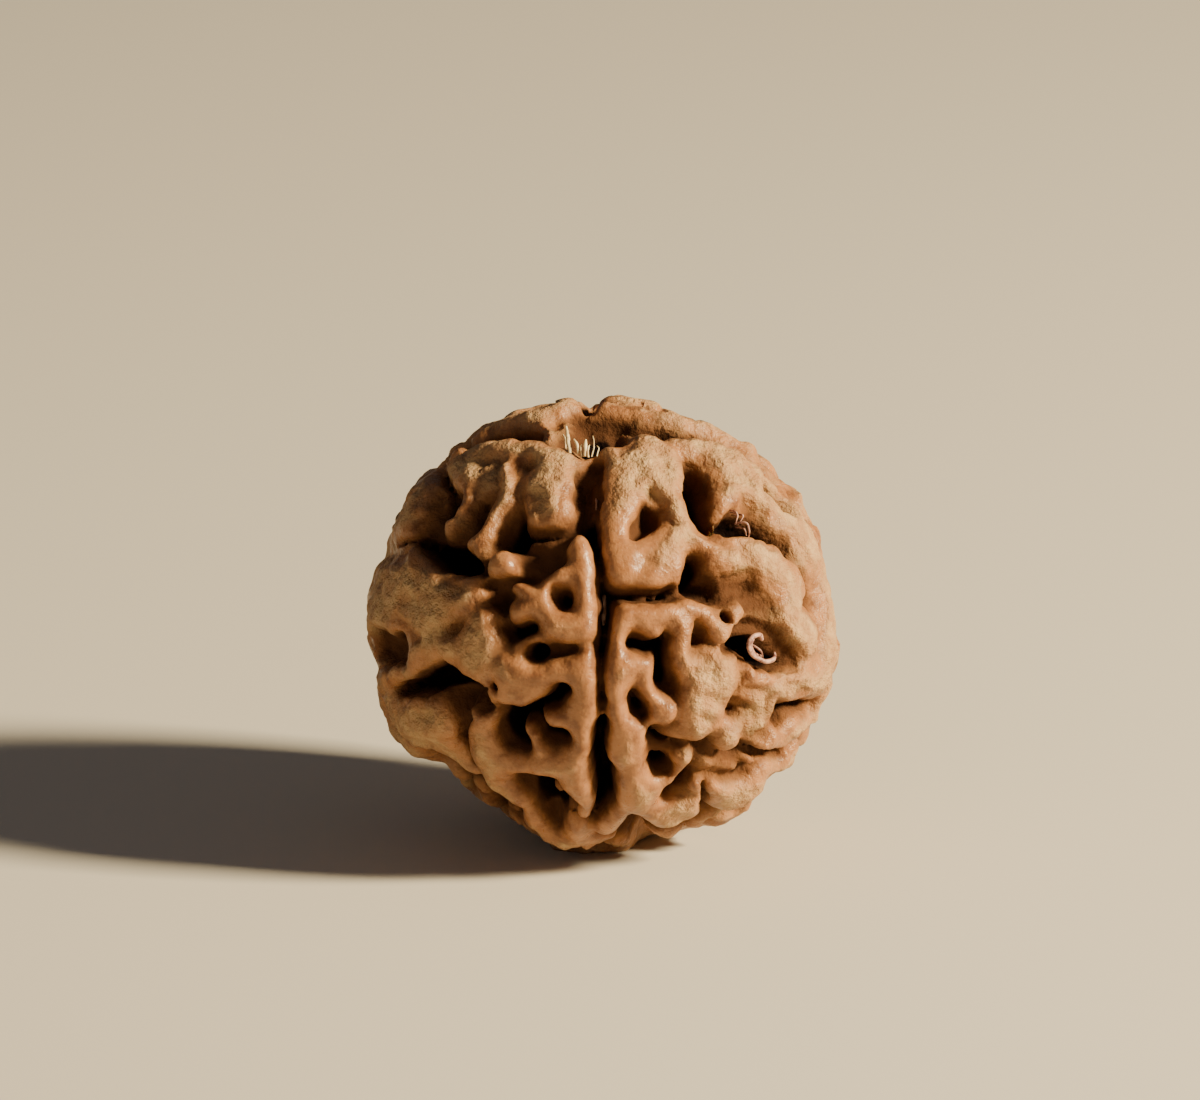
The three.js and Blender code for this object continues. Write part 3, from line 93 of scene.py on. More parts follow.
# Ridges: name, top below the skin, then points [x, up, half width] in the front view.
ridges = [
  ["rear left lobe", 0, [[-0.9, 11.15, 0.35], [-2.2, 10.95, 0.4], [-3.5, 10.6, 0.5],
    [-4.7, 10.35, 0.4], [-6.0, 9.95, 0.35], [-7.6, 9.0, 0.35]]],
  ["rear left knuckle", 0.1, [[-3.3, 10.4, 0.4], [-2.6, 9.75, 0.4]]],
  ["rear right lobe", 0, [[0.2, 11.25, 0.35], [2.0, 10.95, 0.35], [4.0, 10.4, 0.35],
    [5.6, 9.9, 0.45], [7.2, 8.9, 0.5]]],
  ["hole front rim", 0.15, [[-2.0, 8.65, 0.35], [-1.2, 8.4, 0.32], [-0.5, 8.45, 0.28],
    [0.4, 8.9, 0.3]]],
  ["hole side floor", 0.5, [[-2.8, 9.7, 0.35], [-2.1, 10.1, 0.4], [-1.8, 10.6, 0.35]]],
  ["hole knob", 0.4, [[1.15, 10.1, 0.32], [1.55, 9.75, 0.3]]],
  ["upper right wall", 0, [[0.6, 8.8, 0.5], [0.5, 8.0, 0.6], [0.5, 7.0, 0.65], [0.5, 6.0, 0.65],
    [0.5, 5.0, 0.65], [0.6, 4.0, 0.7], [0.9, 3.0, 0.8], [1.1, 2.6, 0.65]]],
  ["upper right face", 0, [[2.4, 9.2, 0.8], [2.4, 7.9, 1.6], [2.2, 6.6, 1.85], [2.2, 5.2, 1.9],
    [2.3, 3.9, 1.8], [2.5, 3.2, 1.3]]],
  ["upper right foot", 0, [[1.2, 2.7, 0.7], [2.3, 2.7, 0.8], [3.4, 2.8, 0.9]]],
  ["upper right edge", 0, [[3.3, 8.7, 0.6], [3.5, 7.6, 0.7], [3.5, 6.6, 0.72], [3.55, 5.8, 0.72],
    [3.7, 5.0, 0.7], [3.6, 4.2, 0.7], [3.5, 3.4, 0.75]]],
  ["saddle bridge", 0.1, [[4.1, 4.8, 0.5], [4.9, 4.15, 0.42], [5.6, 3.95, 0.42]]],
  ["upper right shoulder", 0, [[3.6, 9.3, 0.5], [5.2, 8.9, 0.75], [6.6, 7.9, 1.2],
    [7.6, 6.9, 1.2], [8.6, 6.2, 0.9], [9.7, 5.1, 0.9], [10.4, 3.9, 0.8]]],
  ["shoulder spur", 0, [[6.9, 6.9, 0.9], [6.5, 6.4, 0.75], [6.35, 6.0, 0.6], [6.3, 5.75, 0.4]]],
  ["shoulder saddle", 0.8, [[6.1, 5.6, 0.3], [5.9, 5.0, 0.4], [5.8, 4.4, 0.4]]],
  ["right cheek", 0, [[5.8, 3.5, 0.75], [6.6, 3.3, 0.85], [7.6, 3.6, 0.8], [8.7, 2.9, 0.9],
    [9.4, 2.1, 0.9], [9.6, 1.2, 0.9]]],
  ["right cheek tip", 0, [[7.8, 4.1, 0.4]]],
  ["right limb", 0, [[10.9, 3.2, 0.7], [11.2, 1.7, 0.6], [11.4, 0.0, 0.8], [11.3, -1.5, 0.9],
    [10.9, -3.0, 1.0]]],
  ["right middle", 0, [[9.2, 0.5, 0.8], [9.8, 0.0, 1.0], [10.3, -0.6, 0.9]]],
  ["right middle inner", 0.5, [[7.0, 0.9, 0.5], [7.2, 0.2, 0.4], [8.0, 0.4, 0.7],
    [8.8, 0.5, 0.6]]],
  ["arch", 0, [[0.8, -1.6, 0.5], [0.75, -0.8, 0.45], [0.9, 0.0, 0.45], [1.4, 0.6, 0.55],
    [2.2, 0.5, 0.6], [3.0, 0.6, 0.55], [3.6, 0.5, 0.5], [4.0, 0.0, 0.5], [4.05, -0.6, 0.5],
    [4.0, -1.2, 0.5], [4.2, -1.9, 0.55], [4.6, -2.6, 0.6]]],
  ["arch nub", 0.1, [[2.3, 0.2, 0.45], [2.7, -0.5, 0.37]]],
  ["spur", 0, [[4.2, 1.0, 0.35], [5.1, 0.5, 0.45], [5.8, 0.0, 0.5], [6.05, -0.5, 0.45]]],
  ["hook", 0.05, [[0.8, -2.2, 0.6], [1.3, -2.2, 0.6], [1.8, -2.0, 0.45], [2.2, -2.0, 0.45],
    [2.4, -2.5, 0.33], [2.3, -3.0, 0.3], [2.5, -3.6, 0.3], [2.8, -4.2, 0.5]]],
  ["right groove wall", 0, [[0.8, -1.6, 0.45], [0.9, -2.4, 0.8], [0.7, -3.3, 0.6],
    [0.75, -4.2, 0.52], [1.1, -5.0, 0.75], [1.35, -5.8, 0.95], [1.1, -6.6, 0.85],
    [0.8, -7.0, 0.5]]],
  ["right nub", 0, [[2.6, -4.6, 0.5], [3.15, -4.5, 0.62]]],
  ["right centre lobe", 0, [[5.0, -1.9, 0.65], [5.5, -2.7, 1.3], [5.3, -3.7, 1.3],
    [5.0, -4.8, 1.0], [4.7, -5.3, 0.55]]],
  ["brown lobe", 0.35, [[3.4, -5.5, 0.4], [3.9, -5.7, 0.42], [4.3, -5.4, 0.45]]],
  ["low nub", 0, [[4.05, -6.85, 0.5]]],
  ["low nub neck", 0.7, [[2.6, -6.5, 0.2], [3.4, -6.75, 0.25]]],
  ["low right plateau", 0, [[2.0, -6.9, 0.4], [1.9, -7.8, 0.9], [2.0, -8.7, 1.15],
    [2.3, -9.2, 0.8]]],
  ["low thin ridge", 0, [[2.7, -8.5, 0.45], [3.4, -8.0, 0.28], [3.9, -7.4, 0.2]]],
  ["low right lobe", 0, [[4.75, -8.2, 0.42], [4.9, -8.9, 0.5], [4.5, -9.6, 0.6],
    [3.7, -9.9, 0.8], [3.0, -9.6, 0.7], [2.5, -9.4, 0.6]]],
  ["bottom tongue", 0.1, [[0.9, -9.7, 0.5], [0.4, -10.3, 0.5], [0.15, -10.7, 0.42]]],
  ["small right lobe", 0.1, [[6.2, -5.1, 0.5], [6.4, -5.6, 0.7], [6.5, -6.0, 0.5]]],
  ["low flat floor", 0.6, [[5.3, -7.1, 0.6], [6.1, -7.2, 0.65], [6.8, -7.3, 0.45]]],
  ["low right bead", 0, [[5.4, -8.2, 0.35], [6.1, -8.7, 0.65], [7.1, -8.5, 0.95],
    [7.6, -7.9, 0.55]]],
  ["low right slope", 0.5, [[6.6, -9.2, 0.5], [6.0, -9.8, 0.5], [5.5, -10.1, 0.45]]],
  ["knob", 0.1, [[7.5, -6.9, 0.35]]],
  ["low limb bits", 0, [[8.2, -7.1, 0.4], [9.0, -6.9, 0.5]]],
  ["right limb ridge", 0, [[10.6, -4.6, 0.4], [9.6, -5.4, 0.6], [8.6, -5.9, 0.6],
    [7.9, -6.3, 0.4]]],
  ["rough slope", 0.3, [[7.7, -3.9, 0.8], [8.1, -4.6, 1.0], [7.8, -5.2, 0.8]]],
  ["right low plateau", 0, [[7.5, -2.7, 0.5], [8.3, -2.9, 0.6], [9.5, -2.9, 0.7],
    [10.6, -3.2, 0.6]]],
  ["roof", 0, [[-7.6, 7.8, 0.6], [-6.6, 8.5, 0.7], [-5.0, 8.9, 0.65], [-3.5, 8.8, 0.7],
    [-2.0, 8.4, 0.6]]],
  ["finger A", 0, [[-6.9, 8.1, 0.9], [-7.0, 7.3, 0.85], [-6.75, 6.4, 0.5], [-7.1, 5.7, 0.48],
    [-7.6, 5.15, 0.45]]],
  ["finger A slope", 0.6, [[-7.2, 5.3, 0.5], [-6.6, 5.0, 0.35]]],
  ["finger web", 0.3, [[-5.9, 7.9, 0.8], [-5.85, 7.0, 0.7], [-5.95, 6.3, 0.35]]],
  ["finger web inner", 0.4, [[-4.1, 8.0, 0.45], [-4.0, 7.1, 0.35], [-4.0, 6.3, 0.2]]],
  ["finger B", 0, [[-4.9, 8.0, 0.5], [-4.8, 7.0, 0.52], [-4.95, 6.2, 0.52], [-5.5, 5.5, 0.45],
    [-5.9, 4.8, 0.45], [-6.4, 4.1, 0.47], [-6.6, 3.8, 0.5]]],
  ["lobe C", 0, [[-2.6, 8.3, 1.0], [-2.7, 7.3, 1.2], [-2.7, 6.3, 1.3], [-2.7, 5.8, 1.1]]],
  ["lobe C shelf", 1.6, [[-3.6, 4.5, 0.3], [-2.7, 4.5, 0.35], [-1.8, 4.4, 0.3]]],
  ["far left lobe", 0, [[-8.6, 7.5, 0.5], [-9.4, 6.3, 0.9], [-9.8, 5.2, 0.85],
    [-10.5, 4.8, 0.6]]],
  ["left cheek", 0, [[-10.7, 1.8, 1.1], [-9.3, 1.5, 1.4], [-8.1, 1.4, 1.3], [-7.0, 1.6, 0.9],
    [-6.4, 1.8, 0.6]]],
  ["cheek spike", -0.25, [[-9.35, 2.5, 0.7], [-9.4, 3.6, 0.32]]],
  ["cheek lower", 0, [[-11.2, 0.4, 0.7], [-9.9, 0.4, 0.8], [-8.6, 0.3, 1.0], [-8.5, -0.8, 0.9],
    [-8.3, -1.5, 0.5], [-7.4, -1.2, 0.8]]],
  ["left strut", 0, [[-9.1, -0.9, 0.45], [-9.4, -1.6, 0.4], [-10.3, -2.4, 0.5],
    [-11.0, -3.0, 0.5]]],
  ["lobe D", 0, [[-6.1, 0.0, 0.95], [-6.2, -0.8, 1.1], [-6.4, -1.6, 1.1], [-6.5, -2.1, 0.8],
    [-6.0, -2.9, 0.35], [-5.75, -4.0, 0.2]]],
  ["lower left lobe", 0, [[-10.2, -4.4, 0.9], [-9.4, -4.9, 1.4], [-8.6, -5.4, 1.45],
    [-8.0, -6.2, 0.9]]],
  ["left limb", 0.1, [[-11.3, 0.8, 0.8], [-11.5, -0.2, 0.5]]],
  ["left limb low", 0.1, [[-11.2, -2.6, 0.5], [-10.9, -4.0, 0.6], [-9.6, -6.4, 0.6]]],
  ["ball E", -0.2, [[-5.0, 3.0, 0.78]]],
  ["ball E shelf", 1.4, [[-3.9, 3.2, 0.35], [-3.0, 3.2, 0.3], [-2.2, 3.1, 0.25]]],
  ["arm 1", 0, [[-4.3, 1.95, 0.35], [-3.5, 1.55, 0.38], [-2.9, 1.4, 0.5]]],
  ["arm 2", 0, [[-4.15, 0.7, 0.58], [-3.3, 0.9, 0.42], [-2.7, 0.9, 0.45]]],
  ["lobe F", 0, [[-1.18, 4.05, 0.68], [-1.0, 3.6, 0.65], [-0.95, 2.8, 0.7], [-0.9, 2.0, 0.55],
    [-0.85, 1.2, 0.5], [-0.85, 0.4, 0.55], [-0.9, -0.2, 0.6]]],
  ["ring F", 0, [[-1.3, 2.9, 0.5], [-2.0, 2.6, 0.5], [-2.6, 2.0, 0.45], [-2.9, 1.3, 0.45],
    [-2.75, 0.6, 0.5], [-2.3, 0.0, 0.7], [-1.7, -0.15, 0.75], [-1.1, -0.1, 0.7]]],
  ["thin arc", 0.15, [[-4.35, -1.4, 0.26], [-4.2, -1.0, 0.22], [-3.85, -0.75, 0.22],
    [-3.4, -0.68, 0.22], [-2.95, -0.85, 0.22]]],
  ["left groove wall", 0, [[-0.75, -1.45, 0.3], [-1.0, -2.0, 0.7], [-1.1, -2.8, 0.85],
    [-1.0, -3.6, 0.75], [-1.0, -4.5, 0.75], [-1.0, -5.5, 0.6], [-1.1, -6.3, 0.65],
    [-1.3, -7.2, 0.75], [-1.2, -8.0, 0.75], [-0.8, -8.8, 0.6], [-0.8, -9.5, 0.6]]],
  ["plateau K", 0, [[-5.0, -2.3, 0.9], [-4.2, -2.6, 0.8], [-3.2, -2.7, 0.6],
    [-2.2, -2.5, 0.6], [-1.3, -2.4, 0.6]]],
  ["plateau K lower", 0, [[-4.9, -3.3, 0.9], [-4.2, -3.5, 0.7], [-3.6, -3.2, 0.7]]],
  ["finger N", 0, [[-1.4, -4.85, 0.5], [-2.6, -4.9, 0.52]]],
  ["nub P", 0.05, [[-3.2, -6.4, 0.4], [-3.35, -5.85, 0.3], [-3.85, -5.5, 0.3]]],
  ["ring Q", 0, [[-5.6, -4.6, 0.2], [-6.2, -4.9, 0.5], [-6.4, -5.8, 0.75], [-6.2, -6.8, 0.8],
    [-5.8, -7.5, 0.9], [-4.8, -7.5, 0.6], [-3.6, -7.3, 0.6], [-2.4, -7.3, 0.65],
    [-1.3, -7.2, 0.6]]],
  ["low left wall", 0, [[-6.2, -8.0, 0.5], [-5.5, -8.6, 0.6], [-4.8, -9.1, 0.5],
    [-4.1, -9.5, 0.3]]],
  ["low left limb", 0, [[-7.9, -7.0, 0.5], [-7.1, -7.7, 0.5]]],
  ["bottom left lobe", 0, [[-3.8, -9.9, 0.3], [-3.6, -10.5, 0.4], [-2.8, -11.0, 0.45],
    [-1.8, -11.15, 0.45], [-1.2, -11.0, 0.45], [-1.3, -10.3, 0.4]]],
  ["thin low rim", 0.1, [[-2.3, -8.5, 0.15], [-1.95, -9.2, 0.18], [-1.75, -10.0, 0.25]]],
]

# Pits and grooves: name, depth, then points [x, up, half width].
pits = [
  ["stem hole", 3.6, [[-0.35, 9.6, 0.6], [-0.1, 10.4, 0.65]]],
  ["small top pit", 1.6, [[-2.1, 9.3, 0.28]]],
  ["left groove", 2.0, [[-3.4, 9.8, 0.2], [-4.7, 9.7, 0.22], [-6.0, 9.5, 0.15],
    [-7.5, 8.8, 0.1]]],
  ["right groove", 3.0, [[1.4, 10.5, 0.25], [2.2, 10.2, 0.42], [3.2, 10.0, 0.34],
    [4.3, 9.85, 0.12]]],
  ["rear groove", 1.8, [[-0.6, 11.2, 0.2], [-0.6, 11.6, 0.3]]],
  ["upper groove floor", 1.05, [[-0.4, 8.35, 0.32], [-0.7, 7.6, 0.55], [-0.75, 6.6, 0.6],
    [-0.78, 5.8, 0.52]]],
  ["groove slit", 3.2, [[-0.03, 8.5, 0.05], [-0.15, 7.6, 0.06], [-0.22, 6.8, 0.08],
    [-0.3, 6.0, 0.14]]],
  ["front groove", 2.5, [[-0.5, 5.6, 0.33], [-0.62, 5.0, 0.45], [-0.33, 4.2, 0.24],
    [-0.18, 3.4, 0.17], [-0.08, 3.0, 0.17], [0.02, 2.2, 0.24], [0.22, 1.6, 0.36],
    [0.17, 0.5, 0.36], [0.13, 0.0, 0.32], [0.02, -0.8, 0.3], [-0.05, -1.4, 0.25]]],
  ["middle groove", 2.6, [[-0.05, -1.4, 0.24], [-0.05, -2.3, 0.15], [-0.06, -3.0, 0.13],
    [0.0, -3.8, 0.2], [-0.05, -4.3, 0.18]]],
  ["low groove", 3.0, [[0.0, -5.0, 0.3], [-0.02, -5.5, 0.32], [-0.1, -6.2, 0.3],
    [-0.25, -6.8, 0.35], [0.0, -7.4, 0.5], [0.05, -8.0, 0.42], [0.2, -8.6, 0.38],
    [0.27, -9.2, 0.4], [-0.1, -9.8, 0.3], [-0.48, -10.3, 0.1]]],
  ["groove side cleft", 2.3, [[0.2, 1.6, 0.35], [1.5, 1.5, 0.28], [2.6, 1.45, 0.28],
    [3.3, 1.6, 0.3], [3.6, 1.85, 0.3]]],
  ["valley A B", 1.9, [[-6.0, 6.3, 0.15], [-6.25, 5.6, 0.3], [-6.5, 5.0, 0.3]]],
  ["pit B C", 2.8, [[-4.2, 6.0, 0.1], [-4.3, 5.3, 0.36], [-4.5, 4.5, 0.6]]],
  ["under lobe C", 2.5, [[-4.2, 4.7, 0.3], [-3.0, 4.65, 0.25], [-1.9, 4.7, 0.2]]],
  ["far left pit", 3.2, [[-7.75, 6.25, 0.6]]],
  ["far left valley", 1.8, [[-8.3, 7.9, 0.12], [-7.95, 7.0, 0.2], [-7.75, 6.25, 0.4]]],
  ["far left cleft", 3.0, [[-10.3, 4.1, 0.08], [-9.5, 4.35, 0.14], [-8.7, 4.0, 0.42],
    [-7.8, 3.5, 0.7], [-6.8, 3.1, 0.5]]],
  ["left limb hole", 3.4, [[-10.15, -1.2, 0.62]]],
  ["left cleft", 2.8, [[-10.3, -3.4, 0.2], [-9.0, -3.0, 0.45], [-8.1, -2.6, 0.6],
    [-7.2, -2.95, 0.4], [-6.3, -3.3, 0.35], [-6.0, -4.1, 0.3]]],
  ["lobe D hole", 1.4, [[-5.45, -3.1, 0.22]]],
  ["pit G", 2.6, [[-1.85, 1.4, 0.34]]],
  ["under ball E", 2.4, [[-5.8, 2.0, 0.2], [-4.8, 2.25, 0.14], [-3.8, 2.35, 0.18]]],
  ["pit H", 2.6, [[-5.0, -0.1, 0.25], [-4.5, -0.4, 0.36], [-3.7, -0.12, 0.36]]],
  ["pit I", 2.8, [[-3.4, -1.5, 0.6]]],
  ["valley I", 1.6, [[-2.5, -1.35, 0.3], [-1.4, -1.2, 0.18]]],
  ["slot L", 2.8, [[-2.05, -3.4, 0.5], [-2.5, -3.95, 0.36], [-3.2, -4.25, 0.32],
    [-3.8, -4.45, 0.28]]],
  ["pit M", 3.6, [[-4.75, -4.8, 0.52], [-4.85, -5.5, 0.6], [-4.6, -6.2, 0.6],
    [-4.2, -6.45, 0.45]]],
  ["pit M arm", 3.2, [[-4.3, -4.75, 0.35], [-3.7, -4.78, 0.28], [-3.15, -5.3, 0.2],
    [-2.9, -5.6, 0.25]]],
  ["pit O", 3.0, [[-2.8, -5.8, 0.3], [-2.0, -5.8, 0.44]]],
  ["pit Q", 1.6, [[-6.2, -4.2, 0.3]]],
  ["ring Q side", 3.0, [[-6.75, -4.6, 0.12], [-7.25, -5.3, 0.14], [-7.4, -6.1, 0.14],
    [-7.2, -6.9, 0.16], [-6.9, -7.6, 0.16]]],
  ["pit R", 3.6, [[-4.2, -8.3, 0.45], [-3.3, -8.6, 0.65], [-2.8, -9.2, 0.75],
    [-2.75, -9.8, 0.65]]],
  ["slot T", 1.6, [[-1.8, -8.8, 0.15], [-1.6, -9.2, 0.22], [-1.5, -9.9, 0.12]]],
  ["pit V", 1.4, [[1.7, 4.55, 0.25], [2.0, 5.0, 0.48], [2.4, 5.5, 0.52], [2.3, 6.0, 0.3]]],
  ["pit X", 2.3, [[4.6, 7.8, 0.25], [4.75, 7.1, 0.45], [4.8, 6.4, 0.55], [5.0, 5.7, 0.5],
    [5.5, 5.05, 0.38]]],
  ["pit Y", 2.5, [[6.3, 4.9, 0.42], [7.0, 5.2, 0.62], [7.8, 4.95, 0.45], [8.6, 4.5, 0.35],
    [9.3, 3.9, 0.42], [9.6, 3.4, 0.25]]],
  ["pit AA", 2.6, [[4.75, 3.35, 0.35], [4.75, 2.8, 0.5], [4.5, 2.1, 0.5]]],
  ["hole CC", 1.9, [[6.3, 0.4, 0.36]]],
  ["pit DD", 2.6, [[7.4, -1.2, 0.42], [8.0, -1.4, 0.65], [8.7, -1.95, 0.45],
    [9.5, -1.95, 0.2]]],
  ["pit EE", 1.6, [[10.5, 0.95, 0.3]]],
  ["pit LL", 1.3, [[4.8, 0.3, 0.12], [4.95, -0.3, 0.3], [4.9, -0.9, 0.3]]],
  ["pit OO", 2.6, [[1.6, -0.9, 0.38], [2.3, -1.15, 0.33], [3.05, -1.1, 0.36],
    [3.3, -0.6, 0.25]]],
  ["pit OO foot", 2.6, [[3.1, -1.6, 0.4], [3.1, -2.6, 0.42], [3.15, -3.0, 0.38]]],
  ["pit RR", 2.2, [[1.6, -3.7, 0.3], [1.85, -4.3, 0.42], [2.1, -4.7, 0.25]]],
  ["pit TT", 2.4, [[2.6, -5.7, 0.36], [3.2, -6.1, 0.32], [3.9, -6.2, 0.18]]],
  ["pit VV", 2.6, [[2.6, -7.1, 0.32], [3.0, -7.45, 0.45], [3.4, -7.5, 0.25]]],
  ["lobe side slit", 2.0, [[5.15, -8.1, 0.1], [5.35, -8.9, 0.12], [5.1, -9.8, 0.14]]],
  ["pit YY", 2.8, [[4.3, -7.9, 0.35], [3.9, -8.4, 0.45], [3.4, -8.9, 0.3]]],
  ["slit HH", 2.2, [[9.1, -5.0, 0.24], [9.4, -4.4, 0.28], [9.9, -4.15, 0.24],
    [10.6, -4.0, 0.2]]],
  ["lobe right border", 1.3, [[7.05, -1.9, 0.12], [7.0, -2.6, 0.12], [6.95, -3.2, 0.14],
    [6.7, -3.9, 0.16], [6.85, -4.4, 0.2]]],
  ["low valley", 2.0, [[6.2, -6.6, 0.2], [7.2, -6.35, 0.2], [8.2, -6.65, 0.2],
    [9.0, -6.55, 0.2]]],
  ["pit GG", 2.0, [[6.8, -4.5, 0.3]]],
]

# Soft hollows and creases: name, depth, then points [x, up, half width].
hollows = [
  ["top dimple", 0.5, [[-1.4, 10.9, 0.2], [-0.95, 10.95, 0.2]]],
  ["pale floor by the hole", 0.35, [[-1.9, 9.9, 0.35]]],
  ["rear right slope", 0.5, [[0.9, 10.5, 0.3], [1.6, 10.2, 0.25]]],
  ["face groove W", 0.55, [[2.4, 6.85, 0.25], [2.9, 6.2, 0.28], [3.25, 5.5, 0.22],
    [3.6, 5.1, 0.15]]],
  ["pit V lip", 0.4, [[2.5, 5.6, 0.6]]],
  ["face dent", 0.2, [[1.9, 7.4, 0.25], [1.5, 6.9, 0.15]]],
  ["face top dent", 0.25, [[2.9, 8.5, 0.25], [3.1, 7.9, 0.15]]],
  ["face low dent", 0.25, [[2.2, 3.2, 0.25], [1.9, 2.8, 0.2]]],
  ["pit X side", 0.5, [[4.9, 7.8, 0.3], [5.1, 6.8, 0.3], [5.3, 6.0, 0.3]]],
  ["pit Y side", 0.6, [[7.3, 6.0, 0.35], [7.9, 5.5, 0.4]]],
  ["dent Z", 1.0, [[8.3, 6.7, 0.28], [8.8, 6.2, 0.32], [9.2, 5.85, 0.25]]],
  ["shoulder dents", 0.25, [[6.9, 7.5, 0.2], [7.2, 7.0, 0.18]]],
  ["shoulder top dent", 0.2, [[4.9, 9.6, 0.3]]],
  ["shoulder far dent", 0.25, [[8.8, 7.3, 0.25], [8.9, 6.9, 0.2]]],
  ["cheek top dent", 0.4, [[6.9, 3.9, 0.2], [7.2, 3.2, 0.35]]],
  ["valley BB", 0.6, [[5.0, 1.75, 0.4], [6.2, 1.75, 0.6], [7.2, 2.1, 0.7], [7.8, 1.3, 0.6],
    [8.5, 0.6, 0.45]]],
  ["pit DD hollow", 1.0, [[6.5, -1.1, 0.35], [6.9, -0.8, 0.5], [7.7, -0.4, 0.75], [8.7, -0.9, 0.65],
    [9.5, -1.6, 0.5]]],
  ["limb crease", 0.3, [[10.9, 1.9, 0.1], [10.5, 1.3, 0.12], [10.1, 0.9, 0.14],
    [9.85, 0.4, 0.12], [9.8, -0.2, 0.15]]],
  ["limb low crease", 0.35, [[10.4, -5.2, 0.12], [10.1, -5.8, 0.12]]],
  ["plateau crease", 0.4, [[7.35, -3.1, 0.16], [8.1, -3.3, 0.16]]],
  ["plateau far crease", 0.4, [[9.1, -3.05, 0.18], [9.9, -3.25, 0.18]]],
  ["slope crease 1", 0.35, [[7.3, -4.1, 0.14], [7.8, -4.9, 0.14]]],
  ["slope crease 2", 0.35, [[8.3, -3.9, 0.14], [8.5, -4.7, 0.14]]],
  ["slope crease 3", 0.4, [[7.5, -5.4, 0.14], [8.2, -5.6, 0.14]]],
  ["lobe pocket", 0.45, [[4.5, -1.4, 0.22], [5.2, -1.7, 0.2]]],
  ["lobe crease", 0.3, [[4.6, -2.3, 0.14], [5.4, -2.4, 0.14]]],
  ["lobe dent", 0.35, [[5.2, -3.6, 0.25], [5.9, -3.9, 0.25]]],
  ["lobe low dent", 0.3, [[4.9, -4.6, 0.2], [5.4, -4.9, 0.2]]],
  ["bead pit", 0.4, [[7.3, -7.3, 0.18]]],
  ["lower lobe pocket", 0.35, [[4.5, -8.7, 0.25]]],
  ["lobe C dent", 0.35, [[-3.3, 6.3, 0.4], [-3.0, 5.5, 0.3]]],
  ["lobe C far dent", 0.2, [[-2.3, 7.2, 0.3]]],
  ["roof dent", 0.3, [[-4.0, 8.6, 0.25], [-3.4, 8.1, 0.2]]],
  ["roof left dent", 0.25, [[-6.0, 8.3, 0.3]]],
  ["far left dent", 0.3, [[-9.2, 5.2, 0.3], [-8.9, 4.6, 0.3]]],
  ["ring hollow", 0.6, [[-2.35, 1.7, 0.3], [-2.1, 1.3, 0.35]]],
  ["cheek fold", 0.4, [[-10.1, 0.4, 0.12], [-9.5, -0.1, 0.15], [-9.15, -0.7, 0.2]]],
  ["cheek dip", 0.3, [[-11.0, 2.1, 0.2], [-10.9, 1.4, 0.2]]],
  ["cheek dent", 0.25, [[-9.7, 1.3, 0.25], [-9.0, 1.2, 0.2]]],
  ["cheek far dent", 0.3, [[-7.9, 2.2, 0.3], [-7.2, 1.8, 0.35]]],
  ["left limb hollow", 0.9, [[-10.8, -1.2, 0.6], [-11.3, -1.1, 0.5]]],
  ["lobe D dent", 0.25, [[-7.6, -0.3, 0.3], [-8.3, -0.4, 0.3]]],
  ["lower left dent", 0.3, [[-9.1, -4.4, 0.3], [-8.5, -4.6, 0.3]]],
  ["lower left crease", 0.25, [[-9.6, -5.6, 0.15], [-8.9, -6.0, 0.15]]],
]

# Outline from the front: [turn in degrees from +X, radius].
outline = [
  [-180, 12.0], [-150, 11.95], [-137, 10.9], [-122, 10.85], [-112, 11.25], [-99, 11.75],
  [-88, 11.5],
  [-70, 11.45], [-49, 12.0], [-30, 11.85], [-12, 12.05], [10, 11.8], [45, 11.85], [75, 11.5],
  [100, 11.65], [135, 11.75], [165, 11.85], [180, 12.0],
]

# Notches across the outline: [turn in degrees, depth, half width].
rimNotches = [
  [93, 0.5, 0.6], [12, 0.4, 0.5], [55, 0.4, 0.6], [162, 0.7, 0.6], [-169, 0.55, 0.45],
  [-137, 0.6, 0.8], [-78, 1.3, 0.7], [-42, 0.7, 0.5], [-20, 0.3, 0.4],
]

rise = math.radians(seedSize["viewRise"])
toRight = np.array([1.0, 0.0, 0.0])
pictureUp = np.array([0.0, math.sin(rise), math.cos(rise)])
towards = np.array([0.0, -math.cos(rise), math.sin(rise)])
skinRadius = seedSize["skinRadius"]


def directionAt(x, up):
    depth = math.sqrt(max(0.4, seedSize["readRadius"] ** 2 - x * x - up * up))
    spot = x * toRight + up * pictureUp + depth * towards
    return spot / np.linalg.norm(spot)


def trueHalfWidth(x, up, halfWidth):
    # a width read near the outline is foreshortened, so it is widened there
    cosine = math.sqrt(max(0.12, 1 - (x * x + up * up) / seedSize["readRadius"] ** 2))
    return halfWidth * min(1.7, 1 / math.sqrt(cosine))


def stretchesOf(table):
    starts, alongs, halves, drops = [], [], [], []
    for _, drop, points in table:
        for i in range(max(1, len(points) - 1)):
            first = points[i]
            last = points[min(i + 1, len(points) - 1)]
            start = directionAt(first[0], first[1]) * skinRadius
            end = directionAt(last[0], last[1]) * skinRadius
            starts.append(start)
            alongs.append(end - start)
            halves.append((trueHalfWidth(*first), trueHalfWidth(*last)))
            drops.append(drop)
    return np.array(starts), np.array(alongs), np.array(halves), np.array(drops)


def smoothStep(value, low, high):
    part = np.clip((value - low) / (high - low), 0, 1)
    return part * part * (3 - 2 * part)


def smoothMax(a, b, blend):
    part = np.maximum(blend - np.abs(a - b), 0) / blend
    return np.maximum(a, b) + part * part * blend * 0.25


